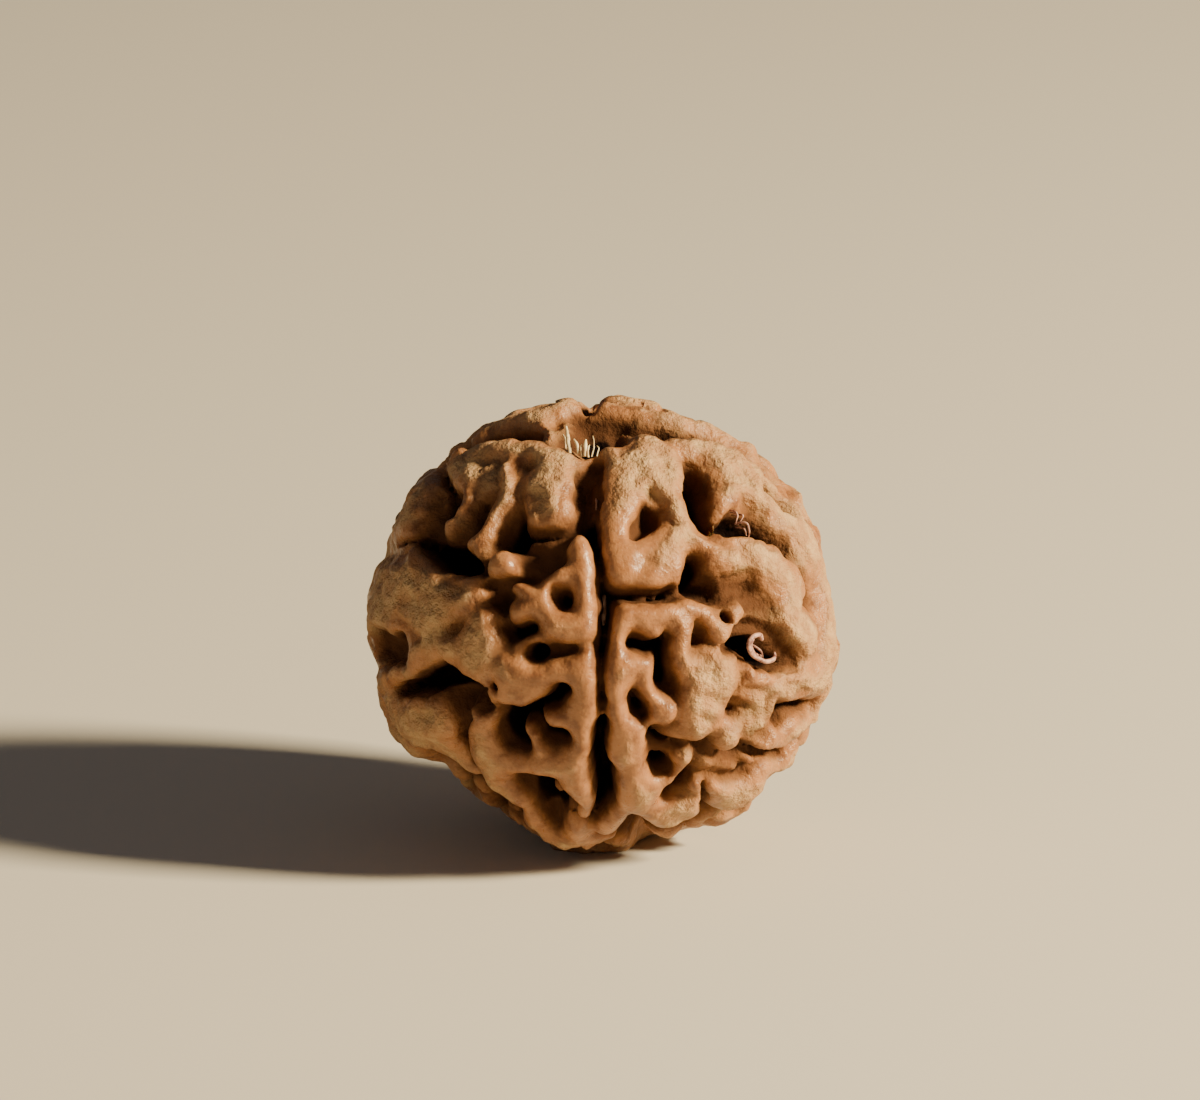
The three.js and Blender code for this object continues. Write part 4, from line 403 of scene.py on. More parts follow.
def ripple(p, size, shift):
    x, y, z = p[..., 0], p[..., 1], p[..., 2]
    crossed = np.sin(x * size + 1.7 * np.sin(y * size * 0.7 + shift))
    crossed = crossed * np.sin(y * size * 1.1 + shift + 1.3 * np.sin(z * size * 0.8))
    return 0.5 * (crossed + np.sin(z * size * 0.9 + shift * 2 + 1.5 * np.sin(x * size * 0.6)))


def chance(seed):
    value = np.sin(seed * 12.9898 + 4.1) * 43758.5453
    return value - np.floor(value)


def nearest(stretches, points, blend):
    # smooth union of the stretches near one tile of points: edge distance and drop
    starts, alongs, halves, drops = stretches
    middle = points.mean(0)
    tileReach = np.linalg.norm(points - middle, axis=1).max()
    centres = starts + alongs / 2
    lengths = np.linalg.norm(alongs, axis=1)
    close = np.linalg.norm(centres - middle, axis=1) < lengths / 2 + 3.5 + tileReach
    edgeOut = np.full(len(points), 2.0)
    dropOut = np.zeros(len(points))
    if not close.any():
        return edgeOut, dropOut
    start, along, half, drop = starts[close], alongs[close], halves[close], drops[close]
    away = points[:, None, :] - start[None]
    squared = np.maximum((along**2).sum(1), 1e-9)
    t = np.clip((away * along[None]).sum(2) / squared, 0, 1)
    gap = np.linalg.norm(away - t[..., None] * along[None], axis=2)
    edge = gap - half[:, 0] - t * (half[:, 1] - half[:, 0])
    weight = np.where(edge > 2, 0, np.exp(-np.minimum(edge, 2) / blend))
    total = weight.sum(1)
    found = total > 0
    edgeOut[found] = np.minimum(2, -blend * np.log(total[found]))
    dropOut[found] = (weight * drop).sum(1)[found] / total[found]
    return edgeOut, dropOut


goldenTurn = 2.39996  # radians, spreads the cells evenly over the sphere


def makeCells():
    i = np.arange(seedSize["cellCount"])
    height = 1 - (2 * (i + 0.5)) / seedSize["cellCount"]
    turn = i * goldenTurn
    across = np.sqrt(1 - height * height)
    middle = np.stack(
        [
            across * np.cos(turn) + 0.13 * (chance(i) - 0.5),
            across * np.sin(turn) + 0.13 * (chance(i + 300) - 0.5),
            height + 0.13 * (chance(i + 600) - 0.5),
        ],
        1,
    )
    middle *= skinRadius / np.linalg.norm(middle, axis=1, keepdims=True)
    pitSize = np.where(chance(i + 1200) < 0.3, 0.3 + 0.35 * chance(i + 1500), -9)
    return middle, 0.35 * chance(i + 900), pitSize


def readLobes(q):
    # lobes out of the front view's sight: cells, some of them run together
    middle, drop, pitSize = makeCells()
    bend = [ripple(q, 1.3, 0.2), ripple(q, 1.2, 1.2), ripple(q, 1.25, 3.2)]
    at = q + seedSize["cellBend"] * np.stack(bend, 1)
    tile = at.mean(0)
    reach = np.linalg.norm(at - tile, axis=1).max()
    near = np.flatnonzero(np.linalg.norm(middle - tile, axis=1) < reach + 6.4)
    gaps = ((at[:, None] - middle[None, near]) ** 2).sum(2)
    home = near[gaps.argmin(1)]
    homeGap = gaps.min(1)
    run = chance((home[:, None] + 1) * (near[None] + 1) * 0.37) < 0.42
    spacing = np.linalg.norm(middle[home][:, None] - middle[None, near], axis=2)
    border = (gaps - homeGap[:, None]) / (2 * np.maximum(spacing, 1e-6))
    skip = run | (near[None] == home[:, None]) | (gaps > 40)
    blend = seedSize["cellBlend"]
    total = np.where(skip, 0, np.exp(-border / blend)).sum(1)
    edge = seedSize["cellValley"] + blend * np.log(np.maximum(total, 1e-9))
    pit = np.sqrt(homeGap) - pitSize[home]
    depth = np.full(len(q), 1.9)
    return np.maximum(-3, edge), drop[home], np.minimum(2, pit), depth, np.full(len(q), 2.0), 0


def readFront(direction):
    q = direction * skinRadius
    wander = [ripple(q, 1.9, 0.4), ripple(q, 2.1, 2.1), ripple(q, 2.0, 4.0)]
    bent = q + seedSize["outlineWander"] * np.stack(wander, 1)
    ridge, drop = nearest(ridgeStretches, bent, seedSize["ridgeBlend"])
    pit, depth = nearest(pitStretches, bent, 0.1)
    hollow, dent = nearest(hollowStretches, bent, 0.1)
    return ridge, drop, pit, depth, hollow, dent


def bentBack(d):
    # the back repeats the front through the seed's middle, bent so that it isn't a copy
    x, y, z = d[:, 0], d[:, 1], d[:, 2]
    bent = np.stack(
        [
            -x + 0.06 * np.sin(4.1 * z + 1.0) + 0.03 * np.sin(7 * y),
            -y + 0.05 * np.sin(3.7 * x + 2.2),
            -z + 0.06 * np.sin(4.4 * x + 0.3) + 0.03 * np.sin(6 * z),
        ],
        1,
    )
    return bent / np.linalg.norm(bent, axis=1, keepdims=True)


def skinAt(direction):
    right = direction[:, 0]
    up = direction @ pictureUp
    turn = np.degrees(np.arctan2(up, right))
    turns = np.array([row[0] for row in outline])
    radii = np.array([row[1] for row in outline])
    index = np.clip(np.searchsorted(turns, turn), 1, len(turns) - 1)
    part = smoothStep(turn, turns[index - 1], turns[index])
    reading = radii[index - 1] + part * (radii[index] - radii[index - 1])
    rim = right * right + up * up
    radius = skinRadius + seedSize["skinLift"] + (reading - skinRadius) * rim
    fromRim = skinRadius * np.arcsin(np.clip(direction @ towards, -1, 1))
    for angle, depth, halfWidth in rimNotches:
        away = np.abs((turn - angle + 540) % 360 - 180) * math.pi * skinRadius / 180
        radius = radius - depth * np.exp(-((away / halfWidth) ** 2) - (fromRim / 2.2) ** 2)
    return radius


stemAxis = directionAt(-0.1, 9.7)


def sideGroove(q):
    # distance to the grooves that run from the stem hole down both sides
    ahead = towards - (towards @ stemAxis) * stemAxis
    ahead /= np.linalg.norm(ahead)
    aside = np.cross(ahead, stemAxis)
    polar = np.arccos(np.clip(q @ stemAxis / skinRadius, -1, 1))
    turn = np.degrees(np.arctan2(q @ aside, q @ ahead))
    away = np.radians(np.abs(np.abs(turn) - seedSize["sideGrooveTurn"]))
    bend = 0.55 * ripple(q, 0.9, 1.1) + 0.2 * ripple(q, 2.1, 0.3)
    gap = np.abs(skinRadius * np.sin(polar) * away + bend)
    return np.minimum(2, gap - seedSize["sideGrooveHalf"] - 0.15 * ripple(q, 1.6, 2.0))


def formAt(direction):
    # along each direction: skin radius, edge distance, drop, floor depth, cap, dent, darkness of
    # the painted shadow in pits
    facing = direction @ towards
    q = direction * skinRadius
    blend = seedSize["ridgeBlend"]
    count = len(direction)
    total = np.zeros(count)
    dropTotal = np.zeros(count)
    pitEdge = np.full(count, 2.0)
    pitDepth = np.zeros(count)
    dent = np.zeros(count)
    wild = (facing < 0.42) & (facing > -0.6)
    pitEdge[wild] = (sideGroove(q) + 2.2 * smoothStep(facing, 0.2, 0.35))[wild]
    pitDepth[wild] = seedSize["sideGrooveDepth"]
    hidden = smoothStep(facing, 0.18, 0.42) + smoothStep(-facing, 0.35, 0.6)
    sides = [
        (facing > -0.3, readFront, 2.2 * smoothStep(-facing, 0.05, 0.3)),
        (facing < 0.22, lambda d: readFront(bentBack(d)), 2.2 * smoothStep(facing, 0.0, 0.22)),
        (wild, lambda d: readLobes(d * skinRadius), 2.2 * hidden),
    ]
    for where, read, fade in sides:
        if not where.any():
            continue
        ridge, drop, pit, depth, hollow, hollowDepth = read(direction[where])
        fade = fade[where]
        sunk = hollowDepth * smoothStep(-hollow - fade, -0.35, 0.3)
        dent[where] = np.maximum(dent[where], sunk)
        weight = np.exp(-(ridge + fade) / blend)
        total[where] += weight
        dropTotal[where] += weight * drop
        nearer = pit + fade < pitEdge[where]
        pitEdge[where] = np.where(nearer, pit + fade, pitEdge[where])
        pitDepth[where] = np.where(nearer, depth, pitDepth[where])
    ridgeEdge = np.minimum(2, -blend * np.log(total)) - seedSize["ridgeGrow"]
    drop = dropTotal / total
    pad = np.linalg.norm(q - np.array([0, 0, -skinRadius]), axis=1) - seedSize["restPadRadius"]
    onPad = pad < 0.4
    ridgeEdge = np.where(onPad, np.minimum(ridgeEdge, pad), ridgeEdge)
    pitEdge = np.where(onPad, np.maximum(pitEdge, 0.25 - pad), pitEdge)
    drop = np.where(onPad, drop * smoothStep(pad, -0.5, 0.3), drop)
    edge = smoothMax(ridgeEdge, -pitEdge, seedSize["pitBlend"])
    lumps = seedSize["rippleHeight"] * ripple(q, 1.1, 0.9)
    lumps = lumps + seedSize["lumpHeight"] * ripple(q, 2.7, 2.3)
    skin = skinAt(direction) + lumps - dent
    shift = seedSize["sideShift"] * np.clip(4 * facing, -1, 1)
    low = smoothStep(q @ pictureUp, -5.0, -3.0)
    side = low * smoothStep(np.abs(q[:, 0] + shift), 5.6, 8.0)
    deepest = seedSize["valleyDepth"]
    deepest = deepest + side * (seedSize["sideValleyDepth"] - deepest)
    start = seedSize["valleyStart"]
    start = start + side * (seedSize["sideValleyStart"] - start)
    valley = start + (deepest - start) * smoothStep(ridgeEdge, -0.1, seedSize["valleySlope"])
    pitDrop = pitDepth * smoothStep(-pitEdge, -0.2, seedSize["pitSlope"])
    floorDrop = smoothMax(valley, pitDrop, 0.3)
    relief = seedSize["floorRelief"] * ripple(q, 3.1, 1.4)
    floorDrop = floorDrop + relief * smoothStep(floorDrop, 0.7, 1.4)
    cap = seedSize["capRadius"] - seedSize["pitCap"]
    cap = seedSize["pitCap"] + cap * smoothStep(pitEdge + ridgeEdge, -0.6, 0.3)
    # darkness of a painted shadow inside deep pits, used only for the colour
    pitShadowAmount = 0.13 * pitDepth**2 * smoothStep(-pitEdge, -0.1, 0.3)
    return np.stack([skin, edge, drop, floorDrop, cap, dent, pitShadowAmount], 1)


mapTile = 34  # samples a side that are worked out together


def makeMaps(samples=300, guard=3):
    # the form sampled over the six faces of a cube, each a little larger than its face
    spots = (np.arange(samples + 2 * guard) - guard) / (samples - 1) * 2 - 1
    across = np.tan(spots * math.pi / 4)
    a, b = np.meshgrid(across, across, indexing="ij")
    maps = []
    for axis in range(3):
        for sign in (1, -1):
            face = np.empty(a.shape + (3,))
            face[..., axis] = sign
            face[..., (axis + 1) % 3] = a
            face[..., (axis + 2) % 3] = b
            face /= np.linalg.norm(face, axis=2, keepdims=True)
            out = np.empty(a.shape + (7,))
            for i in range(0, len(spots), mapTile):
                for j in range(0, len(spots), mapTile):
                    tile = face[i : i + mapTile, j : j + mapTile]
                    values = formAt(tile.reshape(-1, 3)).reshape(tile.shape[:2] + (7,))
                    out[i : i + mapTile, j : j + mapTile] = values
            maps.append(out)
    return np.array(maps), samples, guard


def readMaps(maps, points):
    table, samples, guard = maps
    axis = np.abs(points).argmax(1)
    rows = np.arange(len(points))
    main = points[rows, axis]
    a = np.arctan(points[rows, (axis + 1) % 3] / np.abs(main)) * 4 / math.pi
    b = np.arctan(points[rows, (axis + 2) % 3] / np.abs(main)) * 4 / math.pi
    face = axis * 2 + (main < 0)
    u = (a + 1) / 2 * (samples - 1) + guard
    v = (b + 1) / 2 * (samples - 1) + guard
    i = np.floor(u).astype(int)
    j = np.floor(v).astype(int)
    s = (u - i)[:, None]
    t = (v - j)[:, None]
    low = table[face, i, j] * (1 - s) + table[face, i + 1, j] * s
    high = table[face, i, j + 1] * (1 - s) + table[face, i + 1, j + 1] * s
    return low * (1 - t) + high * t


def seedField(maps, points):
    # below 0 inside the seed; points are mm from its centre
    radius = np.linalg.norm(points, axis=1)
    skin, edge, drop, floorDrop, cap = readMaps(maps, points).T[:5]
    top = skin - drop - seedSize["edgeFall"] * np.exp(np.minimum(edge, 0) / 1.1)
    over = edge + cap
    rising = radius - top + cap
    ridge = np.minimum(np.maximum(over, rising), 0)
    ridge = ridge + np.hypot(np.maximum(over, 0), np.maximum(rising, 0)) - cap
    floor = radius - (skin - floorDrop)
    body = -smoothMax(-ridge, -floor, seedSize["footBlend"])
    return np.maximum(body, -seedSize["centreHeight"] - points[:, 2])


ridgeStretches = stretchesOf(ridges)
pitStretches = stretchesOf(pits)
hollowStretches = stretchesOf(hollows)


netReach = 13.0  # mm, half the grid that holds the seed
bandRadii = (7.8, 12.9)  # mm, the surface lies between these


def surfaceNet(field, low, high, step):
    # one corner per grid cell that the surface crosses, one quad per crossed grid edge
    counts = [int(math.ceil((high - low) / step)) + 1] * 3
    axes = [low + step * np.arange(n) for n in counts]
    grid = np.stack(np.meshgrid(*axes, indexing="ij"), -1).reshape(-1, 3)
    radius = np.linalg.norm(grid, axis=1)
    values = np.where(radius < 10, -5.0, 5.0)
    band = (radius > bandRadii[0]) & (radius < bandRadii[1])
    for part in np.array_split(np.flatnonzero(band), 12):
        values[part] = field(grid[part])
    values = values.reshape(counts)
    strides = np.array([counts[1] * counts[2], counts[2], 1])
    cellSum = np.zeros((values.size, 3))
    cellCount = np.zeros(values.size)
    faces = []
    for axis in range(3):
        before = np.take(values, range(counts[axis] - 1), axis)
        after = np.take(values, range(1, counts[axis]), axis)
        crossed = np.argwhere((before < 0) != (after < 0))
        first = before[tuple(crossed.T)]
        last = after[tuple(crossed.T)]
        spot = crossed.astype(float)
        spot[:, axis] += first / (first - last)
        spot = low + spot * step
        base = crossed @ strides
        second, third = strides[(axis + 1) % 3], strides[(axis + 2) % 3]
        around = [base, base - second, base - second - third, base - third]
        for cell in around:
            cellCount += np.bincount(cell, minlength=values.size)
            for k in range(3):
                cellSum[:, k] += np.bincount(cell, spot[:, k], minlength=values.size)
        quads = np.stack(around, 1)
        quads[first > 0] = quads[first > 0][:, ::-1]
        faces.append(quads)
    used = np.flatnonzero(cellCount)
    slot = np.full(values.size, -1)
    slot[used] = np.arange(len(used))
    corners = cellSum[used] / cellCount[used][:, None]
    return corners, slot[np.concatenate(faces)]


def largestShell(corners, faces):
    # drop loose scraps: spread the lowest label over the edges until it settles
    label = np.arange(len(corners))
    edges = np.concatenate([faces[:, [i, (i + 1) % 4]] for i in range(4)])
    while True:
        least = np.minimum(label[edges[:, 0]], label[edges[:, 1]])
        fresh = label.copy()
        np.minimum.at(fresh, edges[:, 0], least)
        np.minimum.at(fresh, edges[:, 1], least)
        fresh = fresh[fresh]
        if (fresh == label).all():
            break
        label = fresh
    keep = label == np.bincount(label).argmax()
    slot = np.cumsum(keep) - 1
    return corners[keep], slot[faces[keep[faces[:, 0]]]]


def settle(field, corners, faces, passes=3):
    # even out the corners along the surface, then bring them back onto it
    edges = np.concatenate([faces[:, [i, (i + 1) % 4]] for i in range(4)])
    count = np.bincount(edges[:, 0], minlength=len(corners))[:, None]
    for _ in range(passes):
        total = np.zeros_like(corners)
        for k in range(3):
            total[:, k] = np.bincount(
                edges[:, 0], corners[edges[:, 1], k], minlength=len(corners)
            )
        corners = corners + 0.5 * (total / count - corners)
        slope = gradientAt(field, corners)
        steep = np.maximum((slope**2).sum(1), 0.2)
        shift = np.clip(field(corners) / steep, -0.08, 0.08)
        corners = corners - shift[:, None] * slope
    return corners


def gradientAt(field, points, reach=0.05):
    slope = np.empty_like(points)
    for k in range(3):
        step = np.zeros(3)
        step[k] = reach
        slope[:, k] = (field(points + step) - field(points - step)) / (2 * reach)
    return slope


def toBlender(name, corners, faces):
    mesh = bpy.data.meshes.new(name)
    mesh.from_pydata(corners.tolist(), [], faces.tolist())
    mesh.shade_smooth()
    piece = bpy.data.objects.new(name, mesh)
    bpy.context.scene.collection.objects.link(piece)
    return piece


def setAttribute(piece, name, values):
    layer = piece.data.attributes.new(name, "FLOAT", "POINT")
    layer.data.foreach_set("value", np.asarray(values, dtype=np.float32))


def place(points):
    # from mm around the seed's middle to metres in the part's frame
    shift = np.array([seedSize["footprintShift"], 0, seedSize["centreHeight"]])
    return (points + shift) * mm


hashFactors = (73856093, 19349663, 83492791)


def hashed(code):
    # a value from 0 to 1 for each whole number, with no pattern between neighbours
    code = (code ^ (code >> 13)) * 1274126177 & 0x7FFFFFFF
    code = (code ^ (code >> 15)) * 668265263 & 0x7FFFFFFF
    return ((code >> 7) & 0xFFFF) / 0xFFFF


def latticeNoise(points, size, seed):
    # smooth noise between -1 and 1, one hashed value for each corner of a lattice
    at = points / size + 40
    base = np.floor(at).astype(np.int64)
    part = at - base
    part = part * part * (3 - 2 * part)
    total = np.zeros(len(points))
    for corner in range(8):
        step = np.array([corner & 1, corner >> 1 & 1, corner >> 2 & 1])
        spot = base + step
        weight = np.where(step, part, 1 - part).prod(1)
        total += weight * hashed(spot @ np.array(hashFactors) + int(seed) * 9781)
    return 2 * total - 1


wrinkles = {
    "sizesMm": (1.5, 0.85, 0.5),
    "heightsMm": (0.06, 0.08, 0.06),
    "foldMm": 1.1,
    "foldHeightMm": 0.09,
}


def wrinkleAt(points):
    # uneven woody skin: soft lumps and narrow folds where the noise passes its middle
    height = np.zeros(len(points))
    for index, size in enumerate(wrinkles["sizesMm"]):
        height += wrinkles["heightsMm"][index] * latticeNoise(points, size, 7.0 * index)
    bend = 0.5 * np.stack([latticeNoise(points, 1.6, 31.0 + k) for k in range(3)], 1)
    fold = np.abs(latticeNoise(points + bend, wrinkles["foldMm"], 51.0))
    return height - wrinkles["foldHeightMm"] * np.exp(-((fold / 0.12) ** 2))


# depth under the open skin, distance to the ridge's edge, darkness of the painted shadow in pits,
# worn patch
shellAttributes = ("depthBelowSkin", "ridgeEdge", "paintedPitShadow", "wornSmooth")


def wornAt(corners):
    # handling has smoothed the middle of the front and the low ridges
    direction = corners / np.linalg.norm(corners, axis=1, keepdims=True)
    front = smoothStep(direction @ towards, 0.2, 0.5)
    middle = 1 - smoothStep(np.abs(corners[:, 0] + wornPatch["leftShift"]), *wornPatch["across"])
    return front * middle * smoothStep(-(corners @ pictureUp), *wornPatch["downwards"])


wornPatch = {
    "leftShift": 0.8,
    "across": (3.2, 5.4),  # mm from the patch's middle where it starts and ends to fade
    "downwards": (-7.5, -3.5),  # mm below the seed's middle: starts above it, full at the second
    "wrinkleLoss": 0.7,
}


def makeShell():
    maps = makeMaps()
    print("form maps made")

    def field(points):
        return seedField(maps, points)

    corners, faces = surfaceNet(field, -netReach, netReach, seedSize["meshStep"])
    corners, faces = largestShell(corners, faces)
    corners = settle(field, corners, faces)
    slope = gradientAt(field, corners)
    slope /= np.maximum(np.linalg.norm(slope, axis=1, keepdims=True), 0.3)
    worn = wornAt(corners)
    lifted = wrinkleAt(corners) * (1.0 - wornPatch["wrinkleLoss"] * worn)
    corners = corners + slope * lifted[:, None]
    corners[:, 2] = np.maximum(corners[:, 2], -seedSize["centreHeight"])
    print("shell corners", len(corners), "faces", len(faces))
    skin, edge, dent, pit = readMaps(maps, corners).T[[0, 1, 5, 6]]
    radius = np.linalg.norm(corners, axis=1)
    shell = toBlender("seedShell", place(corners), faces)
    # the third value is the darkness of the painted shadow in pits
    values = (skin + dent - radius, edge, np.clip(pit, 0, 1.7), worn)
    for name, value in zip(shellAttributes, values):
        setAttribute(shell, name, value)
    return shell


def linearColour(code):
    values = [int(code[i : i + 2], 16) / 255 for i in (1, 3, 5)]
    curve = [v / 12.92 if v <= 0.04045 else ((v + 0.055) / 1.055) ** 2.4 for v in values]
    return (*curve, 1.0)


def addNode(tree, kind, settings=None, links=None):
    # settings name a property or an input; links name an input and the socket that feeds it
    node = tree.nodes.new(kind)
    for name, value in (settings or {}).items():
        if isinstance(name, int) or name in node.inputs:
            node.inputs[name].default_value = value
        else:
            setattr(node, name, value)
    for name, socket in (links or {}).items():
        tree.links.new(socket, node.inputs[name])
    return node


def newMaterial(name):
    material = bpy.data.materials.new(name)
    material.use_nodes = True
    return material, material.node_tree, material.node_tree.nodes["Principled BSDF"]


def noiseOf(tree, where, sizeMm, detail=3.0, rough=0.55):
    settings = {"Scale": 1000 / sizeMm, "Detail": detail, "Roughness": rough}
    return addNode(tree, "ShaderNodeTexNoise", settings, {"Vector": where}).outputs["Fac"]


def ownAttribute(tree, name):
    return addNode(tree, "ShaderNodeAttribute", {"attribute_name": name}).outputs["Fac"]


def ranged(tree, value, low, high, bottom=0.0, top=1.0):
    settings = {
        "interpolation_type": "SMOOTHSTEP",
        "From Min": low,
        "From Max": high,
        "To Min": bottom,
        "To Max": top,
    }
    node = addNode(tree, "ShaderNodeMapRange", settings, {"Value": value})
    return node.outputs["Result"]


def maths(tree, kind, first, second):
    links = {}
    settings = {"operation": kind}
    for slot, value in enumerate((first, second)):
        if isinstance(value, (int, float)):
            settings[slot] = value
        else:
            links[slot] = value
    return addNode(tree, "ShaderNodeMath", settings, links).outputs[0]


def mixed(tree, amount, under, over, blend="MIX"):
    node = addNode(tree, "ShaderNodeMix", {"data_type": "RGBA", "blend_type": blend})
    for slot, value in ((0, amount), (6, under), (7, over)):
        if isinstance(value, (int, float, tuple)):
            node.inputs[slot].default_value = value
        else:
            tree.links.new(value, node.inputs[slot])
    return node.outputs[2]


shellLook = {
    "skin": "#A67B54",
    "paleDust": "#C09C70",
    "wax": "#A8744A",
    "waxDeep": "#7C4F31",
    # darker brown of the painted shade on valley floors
    "valley": "#543622",
    # near-black colour of the painted shadow inside pits
    "pit": "#130704",
    "blotchMm": 2.6,
    "mottleMm": 0.9,
    "dustMm": 0.3,
    "poreMm": 0.2,
    "creaseMm": 0.7,
    "scratchMm": 0.28,
    "waxRoughness": 0.33,
    "skinRoughness": 0.7,
    "valleyRoughness": 0.85,
    "bumpStrength": 0.9,
    "bumpMm": 0.4,
    "glowMm": (0.9, 0.4, 0.2),  # how far red, green and blue light travel under the wax
    "glowWeight": 0.09,
}


def shellMaterial():
    # dry woody stone, worn waxy on the ridges and dusty on the open skin, with painted shade in the
    # valleys and a painted shadow in the pits
    look = shellLook
    colour = {name: linearColour(code) for name, code in look.items() if isinstance(code, str)}
    material, tree, shader = newMaterial("waxyRudrakshaStone")
    where = addNode(tree, "ShaderNodeTexCoord").outputs["Object"]
    depth, edge, pitShadowAmount, worn = [ownAttribute(tree, name) for name in shellAttributes]
    blotch = noiseOf(tree, where, look["blotchMm"])
    mottle = noiseOf(tree, where, look["mottleMm"], 4.0, 0.6)
    dust = noiseOf(tree, where, look["dustMm"], 2.0, 0.6)
    # narrow ridges and ridge flanks are waxy, broad skins are dry
    flank = ranged(tree, edge, -1.1, -0.25)
    waxChance = maths(tree, "ADD", maths(tree, "MULTIPLY", flank, 0.35), blotch)
    waxChance = maths(tree, "ADD", waxChance, maths(tree, "MULTIPLY", worn, 0.25))
    wax = ranged(tree, waxChance, 0.5, 0.95)
    skin = mixed(tree, ranged(tree, mottle, 0.35, 0.7), colour["skin"], colour["paleDust"])
    waxy = mixed(tree, ranged(tree, mottle, 0.35, 0.75), colour["wax"], colour["waxDeep"])
    top = mixed(tree, wax, skin, waxy)
    top = mixed(tree, ranged(tree, dust, 0.55, 0.75, 0.0, 0.3), top, colour["skin"])
    # valleys are painted darker brown the deeper they lie: painted shade, broken up by the mottle
    # noise
    low = maths(tree, "ADD", depth, maths(tree, "MULTIPLY", mottle, 0.5))
    sunk = ranged(tree, low, 0.5, 1.5)
    valleyShadePainted = mixed(tree, sunk, top, colour["valley"])
    # pits are painted near black the deeper they lie: a painted shadow
    pitShadowMix = ranged(tree, maths(tree, "ADD", depth, pitShadowAmount), 1.55, 2.75)
    tree.links.new(mixed(tree, pitShadowMix, valleyShadePainted, colour["pit"]), shader.inputs["Base Color"])
    rough = ranged(tree, wax, 0.0, 1.0, look["skinRoughness"], look["waxRoughness"])
    rough = maths(tree, "ADD", rough, ranged(tree, dust, 0.3, 0.7, -0.06, 0.1))
    rough = maths(tree, "MAXIMUM", rough, ranged(tree, low, 0.5, 1.2, 0.0, look["valleyRoughness"]))
    tree.links.new(rough, shader.inputs["Roughness"])
    tree.links.new(ranged(tree, low, 0.5, 1.1, 0.5, 0.08), shader.inputs["Specular IOR Level"])
    shader.inputs["IOR"].default_value = 1.45
    shader.inputs["Subsurface Weight"].default_value = look["glowWeight"]
    shader.inputs["Subsurface Radius"].default_value = [length * mm for length in look["glowMm"]]
    shader.inputs["Subsurface Scale"].default_value = 1.0
    crease = noiseOf(tree, where, look["creaseMm"], 5.0, 0.65)
    scratch = noiseOf(tree, where, look["scratchMm"], 3.0, 0.6)
    pore = noiseOf(tree, where, look["poreMm"], 2.0, 0.5)
    dry = ranged(tree, wax, 0.0, 1.0, 0.9, 0.4)
    dry = maths(tree, "SUBTRACT", dry, maths(tree, "MULTIPLY", worn, 0.22))
    relief = maths(tree, "ADD", crease, maths(tree, "MULTIPLY", scratch, 0.55))
    relief = maths(tree, "ADD", relief, maths(tree, "MULTIPLY", pore, 0.25))
    relief = maths(tree, "MULTIPLY", relief, dry)
    settings = {"Strength": look["bumpStrength"], "Distance": look["bumpMm"] * mm}
    bump = addNode(tree, "ShaderNodeBump", settings, {"Height": relief})
    tree.links.new(bump.outputs["Normal"], shader.inputs["Normal"])
    return material


def strandMaterial(name, pale, dark):
    material, tree, shader = newMaterial(name)
    where = addNode(tree, "ShaderNodeTexCoord").outputs["Object"]
    grain = ranged(tree, noiseOf(tree, where, 0.35, 3.0, 0.6), 0.35, 0.65)
    colour = mixed(tree, grain, linearColour(pale), linearColour(dark))
    tree.links.new(colour, shader.inputs["Base Color"])
    shader.inputs["Roughness"].default_value = 0.5
    return material


